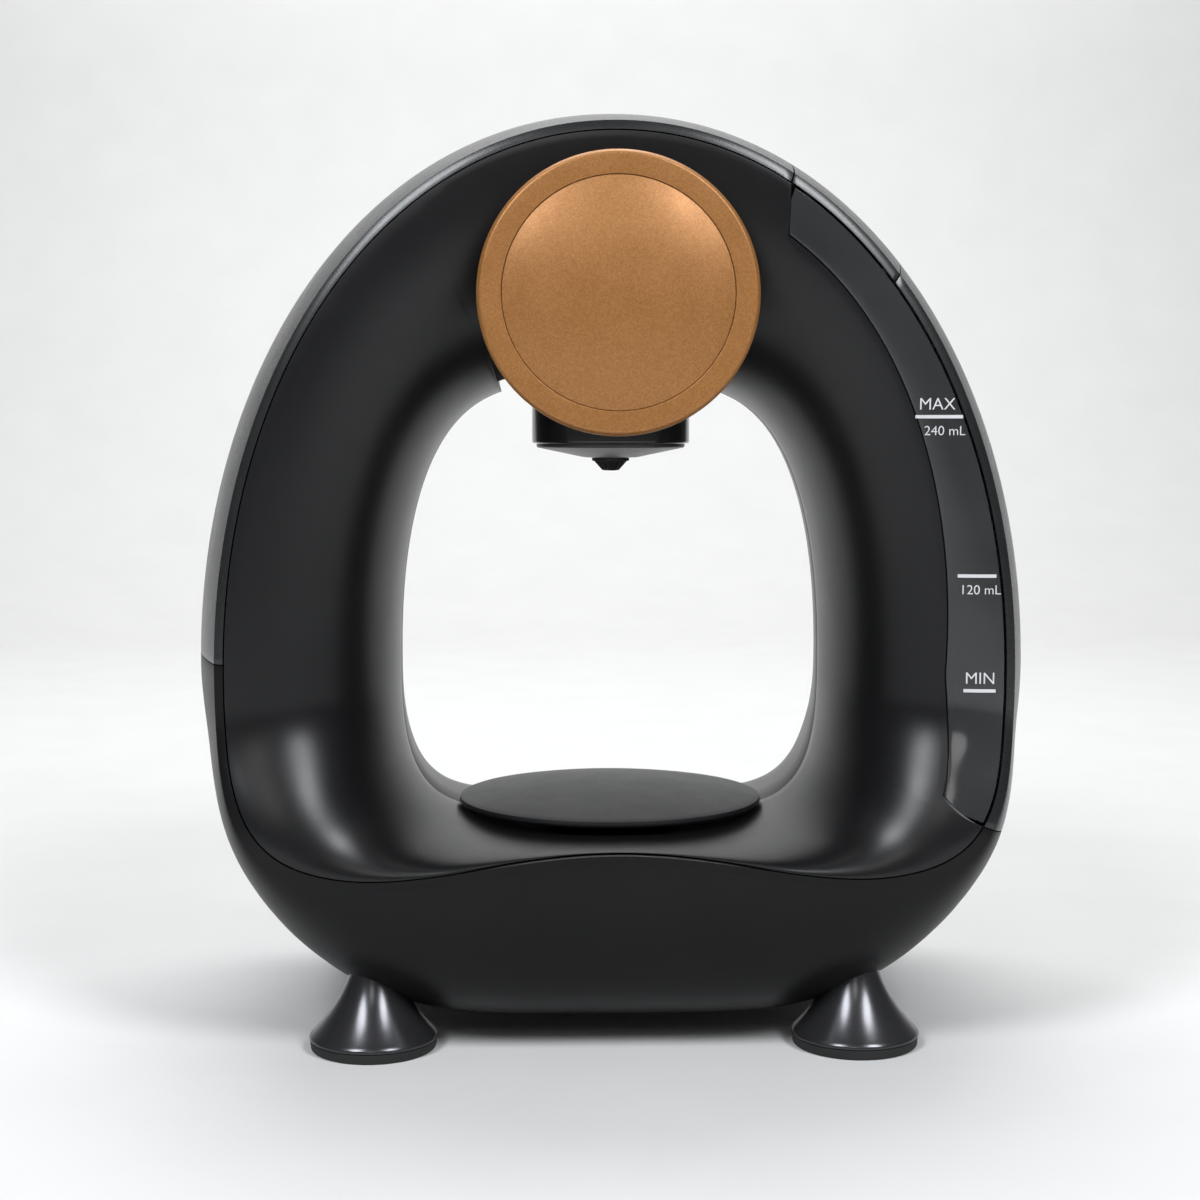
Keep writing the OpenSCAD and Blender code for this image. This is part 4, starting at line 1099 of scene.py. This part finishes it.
# solids that keep their shape and get broken edges: finish and edge width in millimetres
softEdged = {
    "inner_frame": ("frameGrey", 0.25), "brew_chassis": ("frameGrey", 0.3), "hinge_leaf": ("frameGrey", 0.25),
    "base_plate": ("frameGrey", 0.4), "pump_cradle": ("frameGrey", 0.4), "disc_carrier": ("glossBlack", 0.5),
    "button_switch": ("apronBlack", 0.25), "spray_head": ("sprayWhite", 0.3),
    "control_board": ("boardGreen", 0.15), "water_pump": ("castAlloy", 0.8),
    "heater_block": ("castAlloy", 0.8), "thermostat": ("steelDark", 0.3),
}


def softenEdges():
    record = frame["record"]
    bodyOf = {node: name for name, members in record["behaviour"]["bodies"].items() for node in members}
    slotOf = {part["node"]: part["material_slot"] for part in record["subparts"]}
    for node, (look, width) in softEdged.items():
        solid = nodes[node].data
        first, *rest = node.split("_")
        name = first + "".join(word.title() for word in rest)
        piece = newObject(name, [corner.co / mm for corner in solid.vertices],
                          [tuple(face.vertices) for face in solid.polygons], look)
        work = bmesh.new()  # joins faces that meet within a degree
        work.from_mesh(piece.data)
        bmesh.ops.dissolve_limit(work, angle_limit=math.radians(1), verts=work.verts, edges=work.edges)
        work.to_mesh(piece.data)
        work.free()
        roundEdges(piece, width, angle=35)
        place(piece, bodyOf[node], slotOf[node], node)


softenEdges()
print("soft-edged solids made,", len(softEdged))

# carried-over solids and their finishes
carried = {
    "rubberBlack": ["lid_seal", "plate_ring"],
    "nylonWhite": ["tank_filter"],
    "siliconeGrey": ["tank_outlet", "spray_seal", "heater_shim"],
    "hoseClear": ["supply_hose", "pump_hose", "riser_tube"],
    "steelBright": ["lid_pin"],
}
for name, members in carried.items():
    for node in members:
        nodes[node].data.materials.clear()
        nodes[node].data.materials.append(finish[name])
print("carried solids finished,", sum(len(v) for v in carried.values()))

studio = {"floor": (0.68, 0.68, 0.675), "fleck": 0.97, "fleckSize": 0.05, "rough": 0.7, "front": -6.0,
          "back": 1.1, "turn": 0.6, "height": 4.0, "half": 5.0, "air": (0.97, 0.985, 1.0),
          "airStrength": 0.08}


# pale paper sweep: floor, turn and wall
def makeStage(size):
    profile = [(size["front"], 0.0), (size["back"], 0.0)]
    for a in steps(0, 90, 16)[1:]:
        profile.append((size["back"] + size["turn"] * sind(a), size["turn"] * (1 - cosd(a))))
    profile.append((size["back"] + size["turn"], size["height"]))
    mesh = bpy.data.meshes.new("sweep")
    points = [(x, y, z) for y, z in profile for x in (-size["half"], size["half"])]
    mesh.from_pydata(points, [], [(2 * i, 2 * i + 1, 2 * i + 3, 2 * i + 2) for i in range(len(profile) - 1)])
    mesh.shade_smooth()
    material, tree, shader, where = startMaterial("paperSweep")
    dark = tuple(c * size["fleck"] for c in size["floor"])
    addTone(tree, shader, noiseAt(tree, where, size["fleckSize"], detail=3), dark, size["floor"])
    shader.inputs["Roughness"].default_value = size["rough"]
    mesh.materials.append(material)
    sweep = addObject("sweep", mesh)
    scene.world = bpy.data.worlds.new("studioAir")
    scene.world.use_nodes = True
    air = scene.world.node_tree.nodes["Background"]
    air.inputs["Color"].default_value = (*size["air"], 1)
    air.inputs["Strength"].default_value = size["airStrength"]


# places and sizes in metres
lamps = {
    "keyLeft": {"place": (-0.62, -0.80, 1.0), "aim": (0, 0, 0.12), "size": 0.42, "tall": 0.6, "watts": 11.8,
                "color": (0.93, 0.96, 1.0)},
    "keyRight": {"place": (0.60, -0.82, 0.98), "aim": (0, 0, 0.12), "size": 0.42, "tall": 0.6, "watts": 11.8,
                 "color": (0.95, 0.97, 1.0)},
    "frontHigh": {"place": (-0.12, -1.3, 0.85), "aim": (0, 0, 0.2), "size": 0.4, "watts": 1.3,
                  "color": (1.0, 0.98, 0.95)},
    "topSoft": {"place": (0, 0.35, 1.4), "aim": (0, 0, 0.2), "size": 1.2, "watts": 4.4, "color": (1, 1, 1)},
    "wallWash": {"place": (0, 0.75, 1.6), "aim": (0, 1.7, 0.4), "size": 1.6, "watts": 25.4,
                 "color": (1, 1, 1)},
}


def makeLamps():
    for name, lamp in lamps.items():
        light = bpy.data.lights.new(name, "AREA")
        light.shape = "ELLIPSE"
        light.size = lamp["size"]
        light.size_y = lamp.get("tall", lamp["size"])
        light.energy = lamp["watts"]
        light.color = lamp["color"]
        holder = addObject(name, light)
        holder.location = lamp["place"]
        aim = Vector(lamp["aim"]) - Vector(lamp["place"])
        holder.rotation_euler = aim.to_track_quat("-Z", "Y").to_euler()


makeStage(studio)
makeLamps()
print("stage and lamps set")
